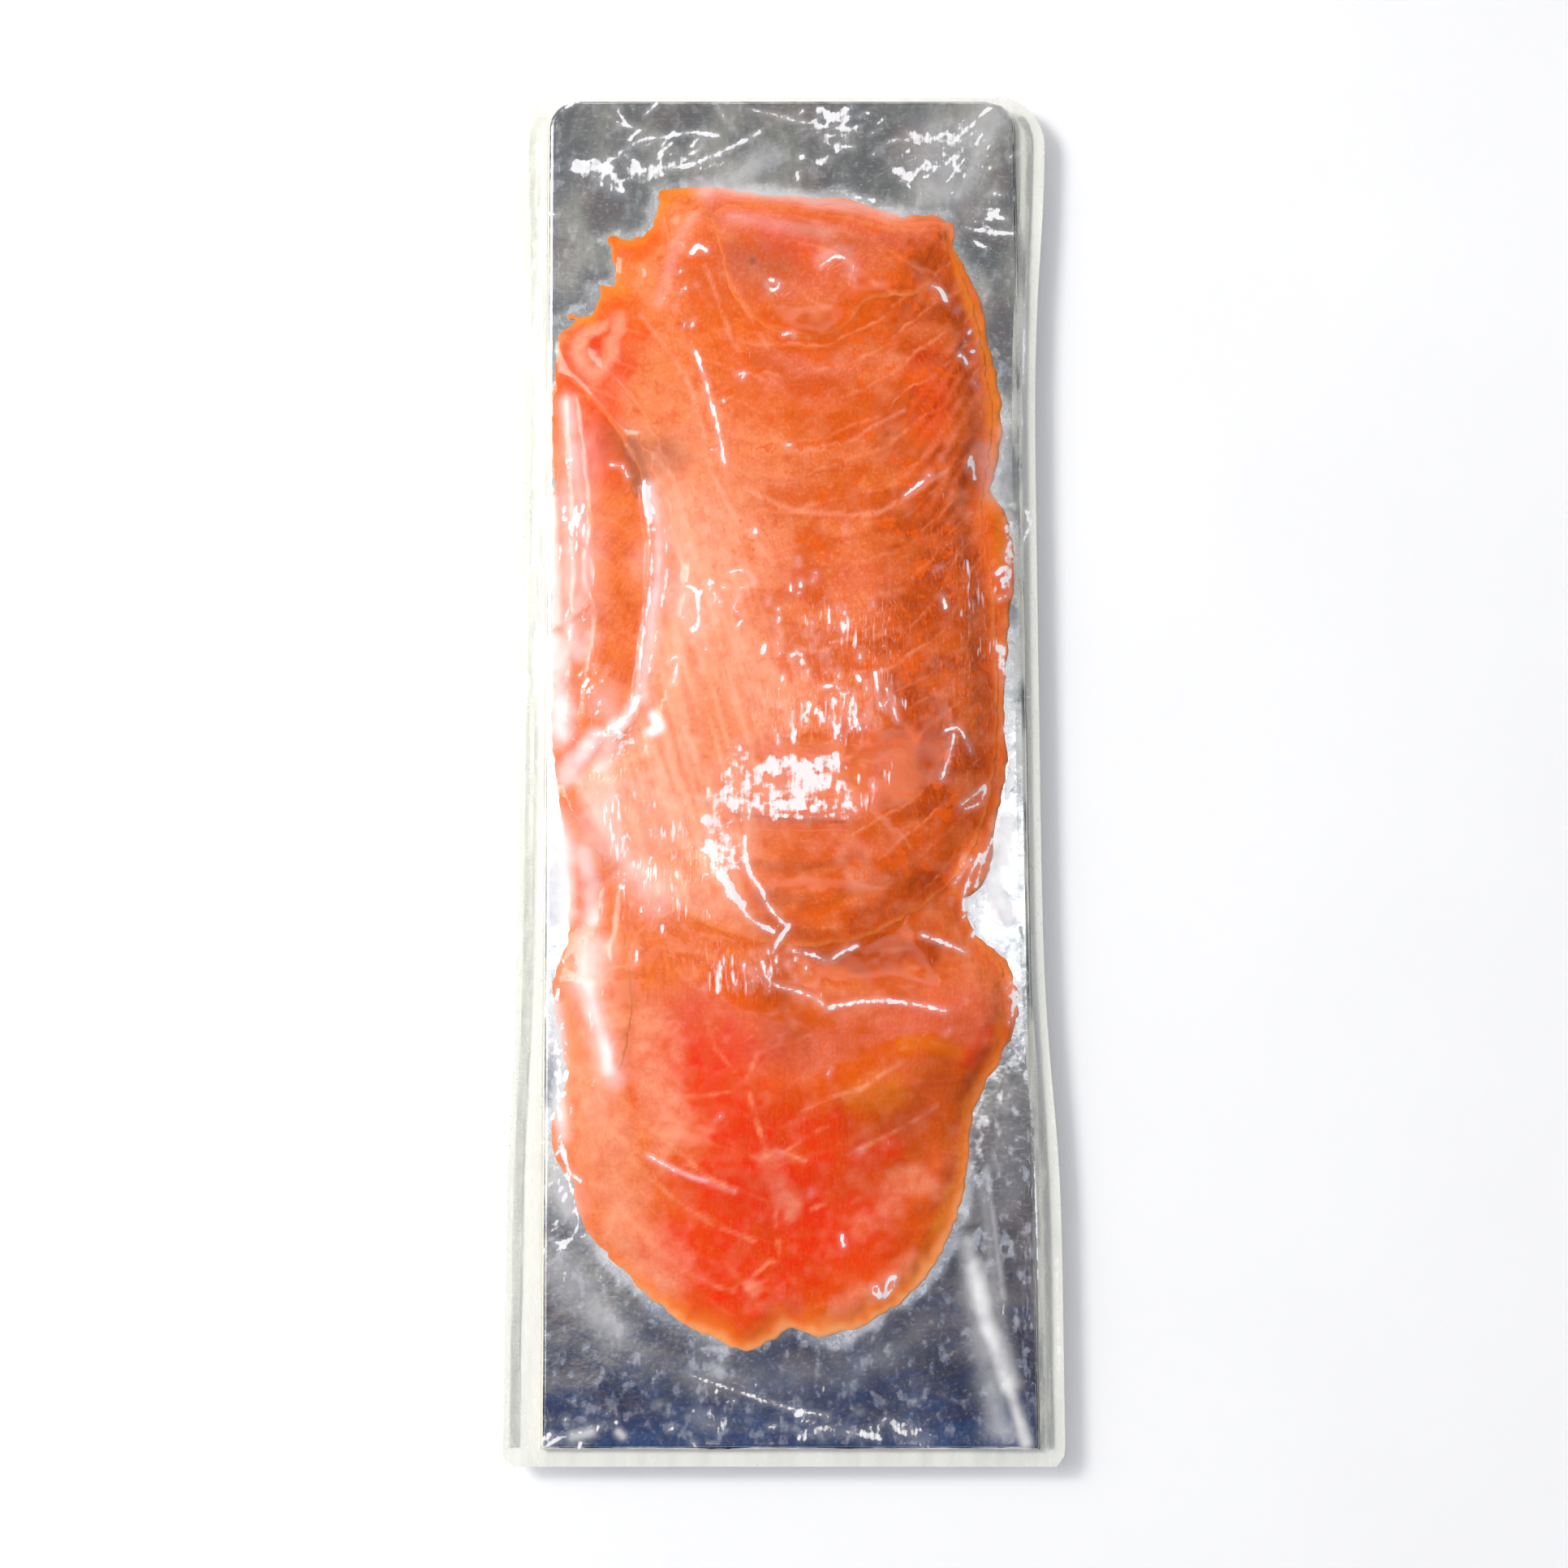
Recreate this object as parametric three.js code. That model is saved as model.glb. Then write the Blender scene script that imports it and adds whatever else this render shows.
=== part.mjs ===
// Pack of smoked salmon: overlapping slices on a metallised board, shrunk tight
// under clear film whose front and back sheets are welded together all round.
// The sealed bag is one closed solid. It lies on its back, millimetres, +Z up,
// +Y towards the end with the rounded board corners, origin at the bottom centre.

import * as THREE from "three";

// Driving dimensions
const bagLength = 290;
const bagWidth = 114;
const bagTopWidth = 113;
const sealThickness = 0.5;
const waistDepths = { left: 1.3, right: 3.1 };
const waistPlace = 20;
const waistReach = 93;
const waistFullness = 6;

const boardWidth = 100.4;
const boardLength = 285;
const boardRise = 1.2;
const boardShiftX = 0.45;
const boardShiftY = 1.1;
const boardLean = -0.0064;
const boardCornerRadius = 6;
const filmSlopeWidth = 2;

const sliceEdge = 3.4;
const coveredEdge = 14;
const shoulder = 8;
const coverStart = -2;
const coverEnd = 4;
const outlineSteps = 110;

const fishEnds = [-125, 127];
const fineRow = 2.5;
const coarseRow = 4;
const columnCount = 38;
const snapReach = 0.33;

// Bag corners: how far each is cut along the end and along the side
const cornerCuts = {
  topLeft: { across: 5.6, along: 9 },
  topRight: { across: 7.6, along: 10 },
  bottomLeft: { across: 2.4, along: 2.2 },
  bottomRight: { across: 1.8, along: 3.2 },
};
const cornerFullness = 1.6;

// Slices from the board up, each a soft closed outline and a thickness
const slices = [
  {
    name: "hidden slice at the tail end",
    thickness: 2.2,
    outline: [
      [-47.8, -48], [-45.4, -41], [-37, -26], [-18, -17], [5.7, -14], [24, -17], [34, -27], [40, -37.4],
      [46, -43], [48.4, -52],
      [46, -60], [40.6, -66], [33, -76], [22, -90], [2, -98], [-22, -96], [-42, -89], [-47.6, -81],
      [-47.4, -74], [-44.8, -67], [-45.8, -59],
    ],
  },
  {
    name: "hidden slice at the head end",
    thickness: 2.2,
    outline: [
      [-48.4, 5], [-48.7, 40], [-48.8, 75], [-48.2, 88], [-45, 94.2], [-39.4, 97], [-36.2, 103],
      [-36.4, 109], [-33.7, 112], [-28.3, 114.5], [-26.8, 120.7], [-22.8, 124], [-15, 124.2], [-1, 122],
      [12.9, 121.6], [25, 117.8], [34.6, 117.2], [37.2, 109], [41, 101.7], [44.2, 87.5], [46.4, 73],
      [45, 62], [44, 57], [46.9, 52.4], [48.7, 41.6], [47.6, 29], [46.3, 14], [46.5, -3], [44.2, -14],
      [41, -27], [34, -30], [18, -27], [0, -26], [-18, -26], [-32, -29], [-43, -25], [-46.4, -12],
    ],
  },
  {
    name: "lower slice",
    thickness: 2.6,
    outline: [
      [-36, -22], [-18, -14], [5.7, -11], [25, -14], [35, -25], [39.8, -37], [45.4, -44.8],
      [47.3, -54], [44.7, -62.2], [40.8, -69.6], [38.3, -77], [37.6, -86], [35.4, -95], [32.2, -101.5],
      [29, -107], [23.4, -112.5], [15.4, -117], [6.4, -119], [1.2, -117], [-2.3, -119.7], [-7.9, -121.8],
      [-14.1, -119.3], [-21, -116.2], [-27.3, -111], [-33.5, -105], [-39, -99.5], [-42.2, -93],
      [-43.8, -85], [-45.3, -75], [-44.2, -64], [-43.6, -50], [-42.6, -36],
    ],
  },
  {
    name: "side flap",
    thickness: 1.6,
    outline: [
      [-44.6, -15], [-39, -20], [-34, -33], [-31.8, -46], [-31.6, -58], [-34.6, -66], [-39.4, -66],
      [-43.8, -59], [-45.8, -48], [-44.6, -34],
    ],
  },
  {
    name: "left strip",
    thickness: 1.6,
    outline: [
      [-48.6, 82], [-44.6, 86], [-39, 78], [-32, 66], [-26, 54], [-23, 40], [-24, 22], [-28, 6],
      [-36, -3], [-44.5, -6], [-47.8, 0], [-48.3, 20], [-48.6, 50],
    ],
  },
  {
    name: "main slice",
    thickness: 2.8,
    outline: [
      [-46.8, 90], [-43.4, 93.6], [-38.2, 95.8], [-34.4, 102], [-33.8, 107.6], [-27.4, 113], [-25.4, 120.4],
      [-20, 122.2], [-1, 120.4], [12.8, 119.6], [24.9, 116], [33.9, 115.2], [36, 107.8], [39.8, 100.4],
      [42.8, 86.8], [44.4, 72.6], [43, 60.3], [41.9, 49.8], [44.3, 36], [44.9, 22], [44.9, 6.6],
      [43.6, -5.3], [40.6, -17], [34, -27], [24, -34.8], [14, -38.8], [2.3, -39.8], [-11, -37.4],
      [-19.4, -33.6], [-29.4, -27.6], [-36.4, -19.6], [-40.8, -12], [-44, -5], [-38.4, 0.6], [-32.4, 5],
      [-29.7, 13.5], [-27.4, 27], [-25.2, 38], [-26.2, 48], [-29, 57], [-33.6, 66.4], [-39.6, 75],
      [-44.6, 82],
    ],
  },
  {
    name: "folded top",
    thickness: 1.4,
    outline: [
      [-14.8, 118.2], [-7.9, 120.4], [5.9, 118.8], [16.2, 117], [25, 113.8], [33, 111], [34.6, 105],
      [28, 99], [18.7, 97.4], [12.7, 91.6], [4.1, 89.3], [-4.5, 91.8], [-10.5, 98.6], [-14, 109.3],
    ],
  },
];

// Folds that stand up in the film and the flesh: a line, a height and a reach to each side
const folds = [
  {
    height: 1.5,
    reach: 2.2,
    line: [[-32, 66], [-28.4, 57], [-25.6, 46], [-24.8, 35], [-26.6, 21], [-29.4, 10], [-34, 3]],
  },
  { height: 0.9, reach: 1.8, line: [[-46.4, 78], [-44.6, 60], [-44, 40], [-45.6, 18], [-46.2, 0]] },
  { height: 0.9, reach: 3, line: [[-12, 114.6], [-6, 115.8], [3.4, 112.6], [11, 109.4]] },
  { height: 0.7, reach: 2, line: [[-17, -9.8], [-4.4, -13], [14, -13.8]] },
  { height: 0.7, reach: 2, line: [[-16.4, -14], [-13.6, -22.4], [-10.2, -31.4], [-4.8, -38]] },
  { height: 0.8, reach: 2.4, line: [[-40.4, -45], [-37.2, -55], [-35.6, -65]] },
  { height: 0.6, reach: 2, line: [[9.3, -52.3], [21.8, -51], [33, -53.5]] },
];

// Slow swells of the flesh under the film
const swells = [
  { height: 0.28, lengthX: 62, lengthY: 88, phase: 0.6 },
  { height: 0.18, lengthX: 34, lengthY: 47, phase: 2.1 },
];

const { clamp, lerp, mapLinear, smoothstep } = THREE.MathUtils;

function cornerInset(distanceFromEnd, cut, fullness) {
  const t = 1 - clamp(distanceFromEnd / cut.along, 0, 1);
  return cut.across * (1 - Math.pow(1 - Math.pow(t, fullness), 1 / fullness));
}

function bagEdge(y, side) {
  const half = bagLength / 2;
  const widthHere = mapLinear(y, -half, half, bagWidth, bagTopWidth);
  const waistDepth = side > 0 ? waistDepths.right : waistDepths.left;
  const waist = waistDepth * Math.exp(-(((y - waistPlace) / waistReach) ** waistFullness));
  const top = side > 0 ? cornerCuts.topRight : cornerCuts.topLeft;
  const bottom = side > 0 ? cornerCuts.bottomRight : cornerCuts.bottomLeft;
  const inset = cornerInset(half - y, top, cornerFullness) + cornerInset(half + y, bottom, cornerFullness);
  return side * (widthHere / 2 - waist - inset);
}

function boardEdge(y, side) {
  const boardTop = boardShiftY + boardLength / 2;
  const round = { across: boardCornerRadius, along: boardCornerRadius };
  const middle = boardShiftX + boardLean * y;
  return middle + side * (boardWidth / 2 - cornerInset(boardTop - y, round, 2));
}

// Closed smooth curve through the points of an outline
function smoothOutline(points) {
  const curve = new THREE.CatmullRomCurve3(points.map(([x, y]) => new THREE.Vector3(x, y, 0)), true);
  return curve.getPoints(outlineSteps);
}

function distanceToLine(x, y, line) {
  const here = new THREE.Vector3(x, y, 0);
  const nearest = new THREE.Vector3();
  const segment = new THREE.Line3();
  let shortest = Infinity;
  for (let i = 0; i + 1 < line.length; i += 1) {
    segment.set(line[i], line[i + 1]).closestPointToPoint(here, true, nearest);
    shortest = Math.min(shortest, nearest.distanceTo(here));
  }
  return shortest;
}

function isInside(x, y, loop) {
  let inside = false;
  for (let i = 0; i + 1 < loop.length; i += 1) {
    const a = loop[i];
    const b = loop[i + 1];
    const crosses = (a.y > y) !== (b.y > y);
    if (crosses && x < a.x + ((y - a.y) * (b.x - a.x)) / (b.y - a.y)) inside = !inside;
  }
  return inside;
}

// Distance to an outline, positive inside it
function depthInside(x, y, loop) {
  const distance = distanceToLine(x, y, loop);
  return isInside(x, y, loop) ? distance : -distance;
}

function boardHeight(x, y) {
  const boardBottom = boardShiftY - boardLength / 2;
  const boardTop = boardShiftY + boardLength / 2;
  const fromSides = Math.min(x - boardEdge(y, -1), boardEdge(y, 1) - x);
  const fromEnds = Math.min(y - boardBottom, boardTop - y);
  return boardRise * smoothstep(Math.min(fromSides, fromEnds), -filmSlopeWidth, 0);
}

const outlines = slices.map((slice) => smoothOutline(slice.outline));
const foldLines = folds.map((fold) => fold.line.map(([x, y]) => new THREE.Vector3(x, y, 0)));

function fishHeight(x, y) {
  const depths = outlines.map((outline) => depthInside(x, y, outline));
  let height = 0;
  slices.forEach((slice, i) => {
    const above = Math.max(-Infinity, ...depths.slice(i + 1));
    const covered = smoothstep(above, coverStart, coverEnd);
    const width = lerp(sliceEdge, coveredEdge, covered);
    height += slice.thickness * smoothstep(depths[i], 0, width);
  });
  const onFish = smoothstep(Math.max(...depths), 0, shoulder);
  folds.forEach((fold, i) => {
    const away = distanceToLine(x, y, foldLines[i]) / fold.reach;
    height += onFish * fold.height * Math.exp(-away * away);
  });
  for (const swell of swells) {
    const across = Math.sin((2 * Math.PI * x) / swell.lengthX + swell.phase);
    const along = Math.sin((2 * Math.PI * y) / swell.lengthY - swell.phase);
    height += onFish * swell.height * across * along;
  }
  return height;
}

function packHeight(x, y) {
  return sealThickness + boardHeight(x, y) + fishHeight(x, y);
}

function spread(from, to, step) {
  const count = Math.max(1, Math.round((to - from) / step));
  return Array.from({ length: count }, (_, i) => from + ((to - from) * i) / count);
}

// Rows are close together over the fish and wider over the bare ends of the board
function rowPlaces() {
  const half = bagLength / 2;
  const boardBottom = boardShiftY - boardLength / 2;
  const boardTop = boardShiftY + boardLength / 2;
  const slopeMiddle = (boardTop + half) / 2;
  return [
    -half,
    (boardBottom - half) / 2,
    ...spread(boardBottom, fishEnds[0], coarseRow),
    ...spread(fishEnds[0], fishEnds[1], fineRow),
    ...spread(fishEnds[1], boardTop, coarseRow),
    boardTop,
    slopeMiddle,
    half,
  ];
}

// One row of places from the left edge of the bag to the right one
function columnPlaces(y) {
  const bagLeft = bagEdge(y, -1);
  const bagRight = bagEdge(y, 1);
  const boardLeft = boardEdge(y, -1);
  const boardRight = boardEdge(y, 1);
  const leftSlope = Math.min(filmSlopeWidth, (boardLeft - bagLeft) / 2);
  const rightSlope = Math.min(filmSlopeWidth, (bagRight - boardRight) / 2);
  const step = (boardRight - boardLeft) / columnCount;
  return [
    bagLeft,
    (bagLeft + boardLeft - leftSlope) / 2,
    boardLeft - leftSlope,
    ...spread(boardLeft, boardRight, step),
    boardRight,
    boardRight + rightSlope,
    (boardRight + rightSlope + bagRight) / 2,
    bagRight,
  ];
}

// Moves a place that lies close to a slice's edge onto it, so that the steps come out clean
function snapToSlices(place) {
  const reach = snapReach * fineRow;
  for (const outline of [...outlines].reverse()) {
    const depth = depthInside(place.x, place.y, outline);
    if (Math.abs(depth) < reach) {
      const slopeX = depthInside(place.x + reach / 2, place.y, outline) - depth;
      const slopeY = depthInside(place.x, place.y + reach / 2, outline) - depth;
      const length = Math.hypot(slopeX, slopeY) || 1;
      place.x -= (depth * slopeX) / length;
      place.y -= (depth * slopeY) / length;
      return;
    }
  }
}

function topPlaces() {
  const rows = rowPlaces().map((y) => columnPlaces(y).map((x) => new THREE.Vector3(x, y, 0)));
  rows.forEach((row, r) => {
    row.forEach((place, c) => {
      const onRim = r < 3 || c < 4 || r > rows.length - 4 || c > row.length - 5;
      if (!onRim) snapToSlices(place);
    });
  });
  rows.flat().forEach((place) => {
    place.z = packHeight(place.x, place.y);
  });
  return rows;
}

class SolidBuilder {
  constructor() {
    this.positions = [];
    this.faces = [];
  }

  addPoint(x, y, z) {
    this.positions.push(x, y, z);
    return this.positions.length / 3 - 1;
  }

  addFace(a, b, c) {
    this.faces.push(a, b, c);
  }

  height(index) {
    return this.positions[index * 3 + 2];
  }

  // Splits a four-cornered cell along the diagonal whose ends differ less in height
  addCell(a, b, c, d) {
    const alongFirst = Math.abs(this.height(a) - this.height(c));
    const alongSecond = Math.abs(this.height(b) - this.height(d));
    if (alongFirst <= alongSecond) {
      this.addFace(a, b, c);
      this.addFace(a, c, d);
    } else {
      this.addFace(a, b, d);
      this.addFace(b, c, d);
    }
  }

  toGeometry() {
    const geometry = new THREE.BufferGeometry();
    geometry.setAttribute("position", new THREE.Float32BufferAttribute(this.positions, 3));
    geometry.setIndex(this.faces);
    geometry.computeVertexNormals();
    return geometry;
  }
}

// Top sheet, rim wall and flat underside, closed into one body
function packGeometry() {
  const solid = new SolidBuilder();
  const rows = topPlaces();
  const top = rows.map((row) => row.map((place) => solid.addPoint(place.x, place.y, place.z)));
  const lastRow = rows.length - 1;
  const lastColumn = rows[0].length - 1;

  for (let r = 0; r < lastRow; r += 1) {
    for (let c = 0; c < lastColumn; c += 1) {
      solid.addCell(top[r][c], top[r][c + 1], top[r + 1][c + 1], top[r + 1][c]);
    }
  }

  const under = rows.map(() => ({}));
  const addUnder = (r, c) => {
    under[r][c] ??= solid.addPoint(rows[r][c].x, rows[r][c].y, 0);
    return under[r][c];
  };
  const addWall = (r0, c0, r1, c1) => {
    solid.addFace(addUnder(r0, c0), addUnder(r1, c1), top[r1][c1]);
    solid.addFace(addUnder(r0, c0), top[r1][c1], top[r0][c0]);
  };
  for (let c = 0; c < lastColumn; c += 1) {
    addWall(0, c, 0, c + 1);
    addWall(lastRow, c + 1, lastRow, c);
  }
  for (let r = 0; r < lastRow; r += 1) {
    addWall(r + 1, 0, r, 0);
    addWall(r, lastColumn, r + 1, lastColumn);
  }

  // The two end strips of the underside fan out to every point of the end rows
  for (let c = 0; c < lastColumn; c += 1) {
    solid.addFace(under[1][0], under[0][c + 1], under[0][c]);
    solid.addFace(under[lastRow - 1][0], under[lastRow][c], under[lastRow][c + 1]);
  }
  solid.addFace(under[1][0], under[1][lastColumn], under[0][lastColumn]);
  solid.addFace(under[lastRow - 1][0], under[lastRow][lastColumn], under[lastRow - 1][lastColumn]);
  for (let r = 1; r < lastRow - 1; r += 1) {
    solid.addFace(under[r][0], under[r + 1][lastColumn], under[r][lastColumn]);
    solid.addFace(under[r][0], under[r + 1][0], under[r + 1][lastColumn]);
  }
  return solid.toGeometry();
}

const filmOverSalmon = new THREE.MeshStandardMaterial({ color: 0xe8703c, roughness: 0.2, metalness: 0 });

const bag = new THREE.Mesh(packGeometry(), filmOverSalmon);
bag.name = "bag";

const pack = new THREE.Group();
pack.add(bag);

export default pack;
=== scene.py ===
import math

import bpy
import numpy as np
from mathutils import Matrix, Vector


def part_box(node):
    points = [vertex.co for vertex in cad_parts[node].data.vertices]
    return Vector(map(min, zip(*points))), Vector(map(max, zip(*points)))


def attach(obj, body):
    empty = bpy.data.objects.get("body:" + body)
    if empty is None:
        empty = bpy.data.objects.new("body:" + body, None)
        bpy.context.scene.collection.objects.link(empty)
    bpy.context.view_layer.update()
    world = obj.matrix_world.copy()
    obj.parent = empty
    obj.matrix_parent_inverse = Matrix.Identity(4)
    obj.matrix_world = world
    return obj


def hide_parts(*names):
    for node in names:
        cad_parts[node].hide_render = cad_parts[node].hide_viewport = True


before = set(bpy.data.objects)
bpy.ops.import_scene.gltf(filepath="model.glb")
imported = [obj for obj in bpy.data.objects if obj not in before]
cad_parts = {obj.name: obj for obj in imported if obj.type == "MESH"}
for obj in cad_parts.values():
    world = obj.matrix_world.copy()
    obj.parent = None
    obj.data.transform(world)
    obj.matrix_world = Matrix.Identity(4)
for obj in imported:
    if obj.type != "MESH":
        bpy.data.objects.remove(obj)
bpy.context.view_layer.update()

# ------------------------------------------------------------------ the silver card
# A stiff paper card faced with metallised film, which the fish lies on. It is cut square at
# the foot and rounded at the head, and its pale core shows as a thin line along the edges,
# painted dark with shade along the right-hand side.

MM = 0.001
pack_low, pack_high = (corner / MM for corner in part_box("bag"))
pack_width = pack_high.x - pack_low.x
pack_length = pack_high.y - pack_low.y
pack_height = pack_high.z

CARD_WIDTH = 100.4
CARD_LENGTH = 285.0
CARD_SHIFT_X = 0.45
CARD_SHIFT_Y = 1.1
CARD_LEAN = -0.0064
CARD_CORNER = 6.0
CARD_UNDER = 0.25
CARD_TOP = 1.5
CARD_PITCH = 1.0
CARD_WAVE = 0.05
card_bottom = CARD_SHIFT_Y - CARD_LENGTH / 2
card_top = CARD_SHIFT_Y + CARD_LENGTH / 2

# The cut edge flares out towards the back of the card, and the right one is painted dark as shade
FLARE_LEFT, FLARE_RIGHT = 0.5, 0.35
FLARE_FROM, FLARE_REACH = 40, 10
PAINTED_CORE_SHADE = 0.85

FIELD_PITCH = 0.4
FIELD_MARGIN = 1
field_x = np.arange(pack_low.x - FIELD_MARGIN, pack_high.x + FIELD_MARGIN, FIELD_PITCH)
field_y = np.arange(pack_low.y - FIELD_MARGIN, pack_high.y + FIELD_MARGIN, FIELD_PITCH)
FIELD_X, FIELD_Y = np.meshgrid(field_x, field_y)


def rise(value, low, high):
    """Goes smoothly from 0 at low to 1 at high."""
    t = np.clip((value - low) / (high - low), 0, 1)
    return t * t * (3 - 2 * t)


def corner_inset(distance_from_end, across, along, fullness):
    t = 1 - np.clip(distance_from_end / along, 0, 1)
    return across * (1 - (1 - t ** fullness) ** (1 / fullness))


def card_edge(y, side):
    middle = CARD_SHIFT_X + CARD_LEAN * y
    return middle + side * (CARD_WIDTH / 2 - corner_inset(card_top - y, CARD_CORNER, CARD_CORNER, 2))


def mix_corners(values, i, j, a, b):
    """Blends the four grid values round a place, a across and b along."""
    low = values[j, i] * (1 - a) + values[j, i + 1] * a
    high = values[j + 1, i] * (1 - a) + values[j + 1, i + 1] * a
    return low * (1 - b) + high * b


def sample(field, x, y):
    """A field's value at any place, by the four grid places round it."""
    u = np.clip((np.asarray(x) - field_x[0]) / FIELD_PITCH, 0, len(field_x) - 1.001)
    v = np.clip((np.asarray(y) - field_y[0]) / FIELD_PITCH, 0, len(field_y) - 1.001)
    i, j = u.astype(int), v.astype(int)
    return mix_corners(field, i, j, u - i, v - j)


def soft_noise(cell_x, cell_y, seed):
    """Smooth random field from -1 to 1 with features about as large as the cell."""
    random = np.random.default_rng(seed)
    columns = int((field_x[-1] - field_x[0]) / cell_x) + 3
    rows = int((field_y[-1] - field_y[0]) / cell_y) + 3
    lattice = random.uniform(-1, 1, (rows, columns))
    u = (FIELD_X - field_x[0]) / cell_x
    v = (FIELD_Y - field_y[0]) / cell_y
    i, j = u.astype(int), v.astype(int)
    return mix_corners(lattice, i, j, rise(u - i, 0, 1), rise(v - j, 0, 1))


def sheet_grid(low_y, high_y, rows, columns, edge):
    """Even places between a sheet's left and right edges."""
    y = np.linspace(low_y, high_y, rows)[:, None] * np.ones((1, columns))
    share = np.linspace(0, 1, columns)[None, :]
    return edge(y, -1) * (1 - share) + edge(y, 1) * share, y


def sheet_faces(rows, columns, flip=False):
    index = np.arange(rows * columns).reshape(rows, columns)
    a, b = index[:-1, :-1].ravel(), index[:-1, 1:].ravel()
    c, d = index[1:, 1:].ravel(), index[1:, :-1].ravel()
    return np.stack([d, c, b, a] if flip else [a, b, c, d], axis=1)


def listed(x, y, z):
    """One row for each place."""
    return np.stack(np.broadcast_arrays(x, y, z), axis=-1).reshape(-1, 3)


def make_piece(name, places_mm, faces, materials, face_materials=None):
    """A smooth-shaded mesh piece that rides on the pack, from places in millimetres."""
    mesh = bpy.data.meshes.new(name)
    mesh.from_pydata((places_mm * MM).tolist(), [], faces.tolist())
    for material in materials:
        mesh.materials.append(material)
    mesh.polygons.foreach_set("use_smooth", np.ones(len(mesh.polygons), bool))
    if face_materials is not None:
        mesh.polygons.foreach_set("material_index", face_materials.astype(np.int32))
    mesh.update()
    piece = bpy.data.objects.new(name, mesh)
    bpy.context.scene.collection.objects.link(piece)
    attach(piece, "root")
    return piece


def store(piece, name, values):
    """Keeps a value for each vertex, for the materials to read."""
    attribute = piece.data.attributes.new(name, "FLOAT", "POINT")
    attribute.data.foreach_set("value", np.asarray(values, np.float32).ravel())


def new_material(name):
    material = bpy.data.materials.new(name)
    material.use_nodes = True
    material.node_tree.nodes.clear()
    return material, material.node_tree


def finish_material(material, surface):
    put(material.node_tree, "ShaderNodeOutputMaterial", {"Surface": surface.outputs[0]})
    return material


def feed(tree, socket, value):
    """Gives a socket a plain value or links another socket to it."""
    if isinstance(value, bpy.types.NodeSocket):
        tree.links.new(value, socket)
    else:
        socket.default_value = value


def put(tree, kind, inputs=None, **settings):
    """Adds a shader node, sets it up and feeds its sockets."""
    node = tree.nodes.new(kind)
    for key, value in settings.items():
        setattr(node, key, value)
    for key, value in (inputs or {}).items():
        feed(tree, node.inputs[key], value)
    return node


def sums(tree, operation, first, second=0.0, third=None, clamp=False):
    inputs = {0: first, 1: second}
    if third is not None:
        inputs[2] = third
    return put(tree, "ShaderNodeMath", inputs, operation=operation, use_clamp=clamp).outputs[0]


def times(tree, first, second, clamp=False):
    return sums(tree, "MULTIPLY", first, second, clamp=clamp)


def step(tree, value, low, high, to_low=0.0, to_high=1.0, kind="LINEAR"):
    """Goes from one level to the other as the value passes from low to high."""
    return put(tree, "ShaderNodeMapRange", {
        "Value": value, "From Min": low, "From Max": high, "To Min": to_low, "To Max": to_high,
    }, interpolation_type=kind).outputs[0]


def surface_place(tree):
    return put(tree, "ShaderNodeTexCoord").outputs["Object"]


def stretched(tree, vector, by):
    return put(tree, "ShaderNodeVectorMath", {0: vector, 1: by}, operation="MULTIPLY").outputs[0]


def cloudy(tree, place, scale, detail=2.0, roughness=0.5):
    return put(tree, "ShaderNodeTexNoise", {
        "Vector": place, "Scale": scale, "Detail": detail, "Roughness": roughness}).outputs["Fac"]


def blend_colour(tree, mask, under, over):
    node = put(tree, "ShaderNodeMix", data_type="RGBA")
    for index, value in ((0, mask), (6, under), (7, over)):
        feed(tree, node.inputs[index], value)
    return node.outputs[2]


def paint_over(tree, colour, layers):
    """Lays colours over one another, each as far as its mask lets it."""
    for mask, over in layers:
        colour = blend_colour(tree, mask, colour, over)
    return colour


def kept(tree, name):
    return put(tree, "ShaderNodeAttribute", attribute_name=name).outputs["Fac"]


def paint(red, green, blue):
    """A colour named by its screen values, as the shader wants it."""
    def linear(value):
        value /= 255
        return value / 12.92 if value <= 0.04045 else ((value + 0.055) / 1.055) ** 2.4
    return (linear(red), linear(green), linear(blue), 1.0)


def mottle_group():
    """Cloudy patches with soft or hard borders, for flesh, card and film alike."""
    tree = bpy.data.node_groups.new("mottle", "ShaderNodeTree")
    for name, kind, value in (
        ("Scale", "NodeSocketFloat", 100.0), ("Stretch", "NodeSocketVector", (1, 1, 1)),
        ("Detail", "NodeSocketFloat", 3.0),
        ("Low", "NodeSocketFloat", 0.4), ("High", "NodeSocketFloat", 0.6),
    ):
        tree.interface.new_socket(name, in_out="INPUT", socket_type=kind).default_value = value
    tree.interface.new_socket("Mask", in_out="OUTPUT", socket_type="NodeSocketFloat")
    given = tree.nodes.new("NodeGroupInput").outputs
    place = stretched(tree, surface_place(tree), given["Stretch"])
    cloud = cloudy(tree, place, given["Scale"], given["Detail"])
    mask = step(tree, cloud, given["Low"], given["High"], kind="SMOOTHSTEP")
    result = tree.nodes.new("NodeGroupOutput")
    tree.links.new(mask, result.inputs["Mask"])
    return tree


MOTTLE = mottle_group()


def mottle(tree, scale, stretch=(1, 1, 1), detail=3.0, low=0.4, high=0.6):
    return put(tree, "ShaderNodeGroup", {
        "Scale": scale, "Stretch": stretch, "Detail": detail, "Low": low, "High": high,
    }, node_tree=MOTTLE).outputs["Mask"]


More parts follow.
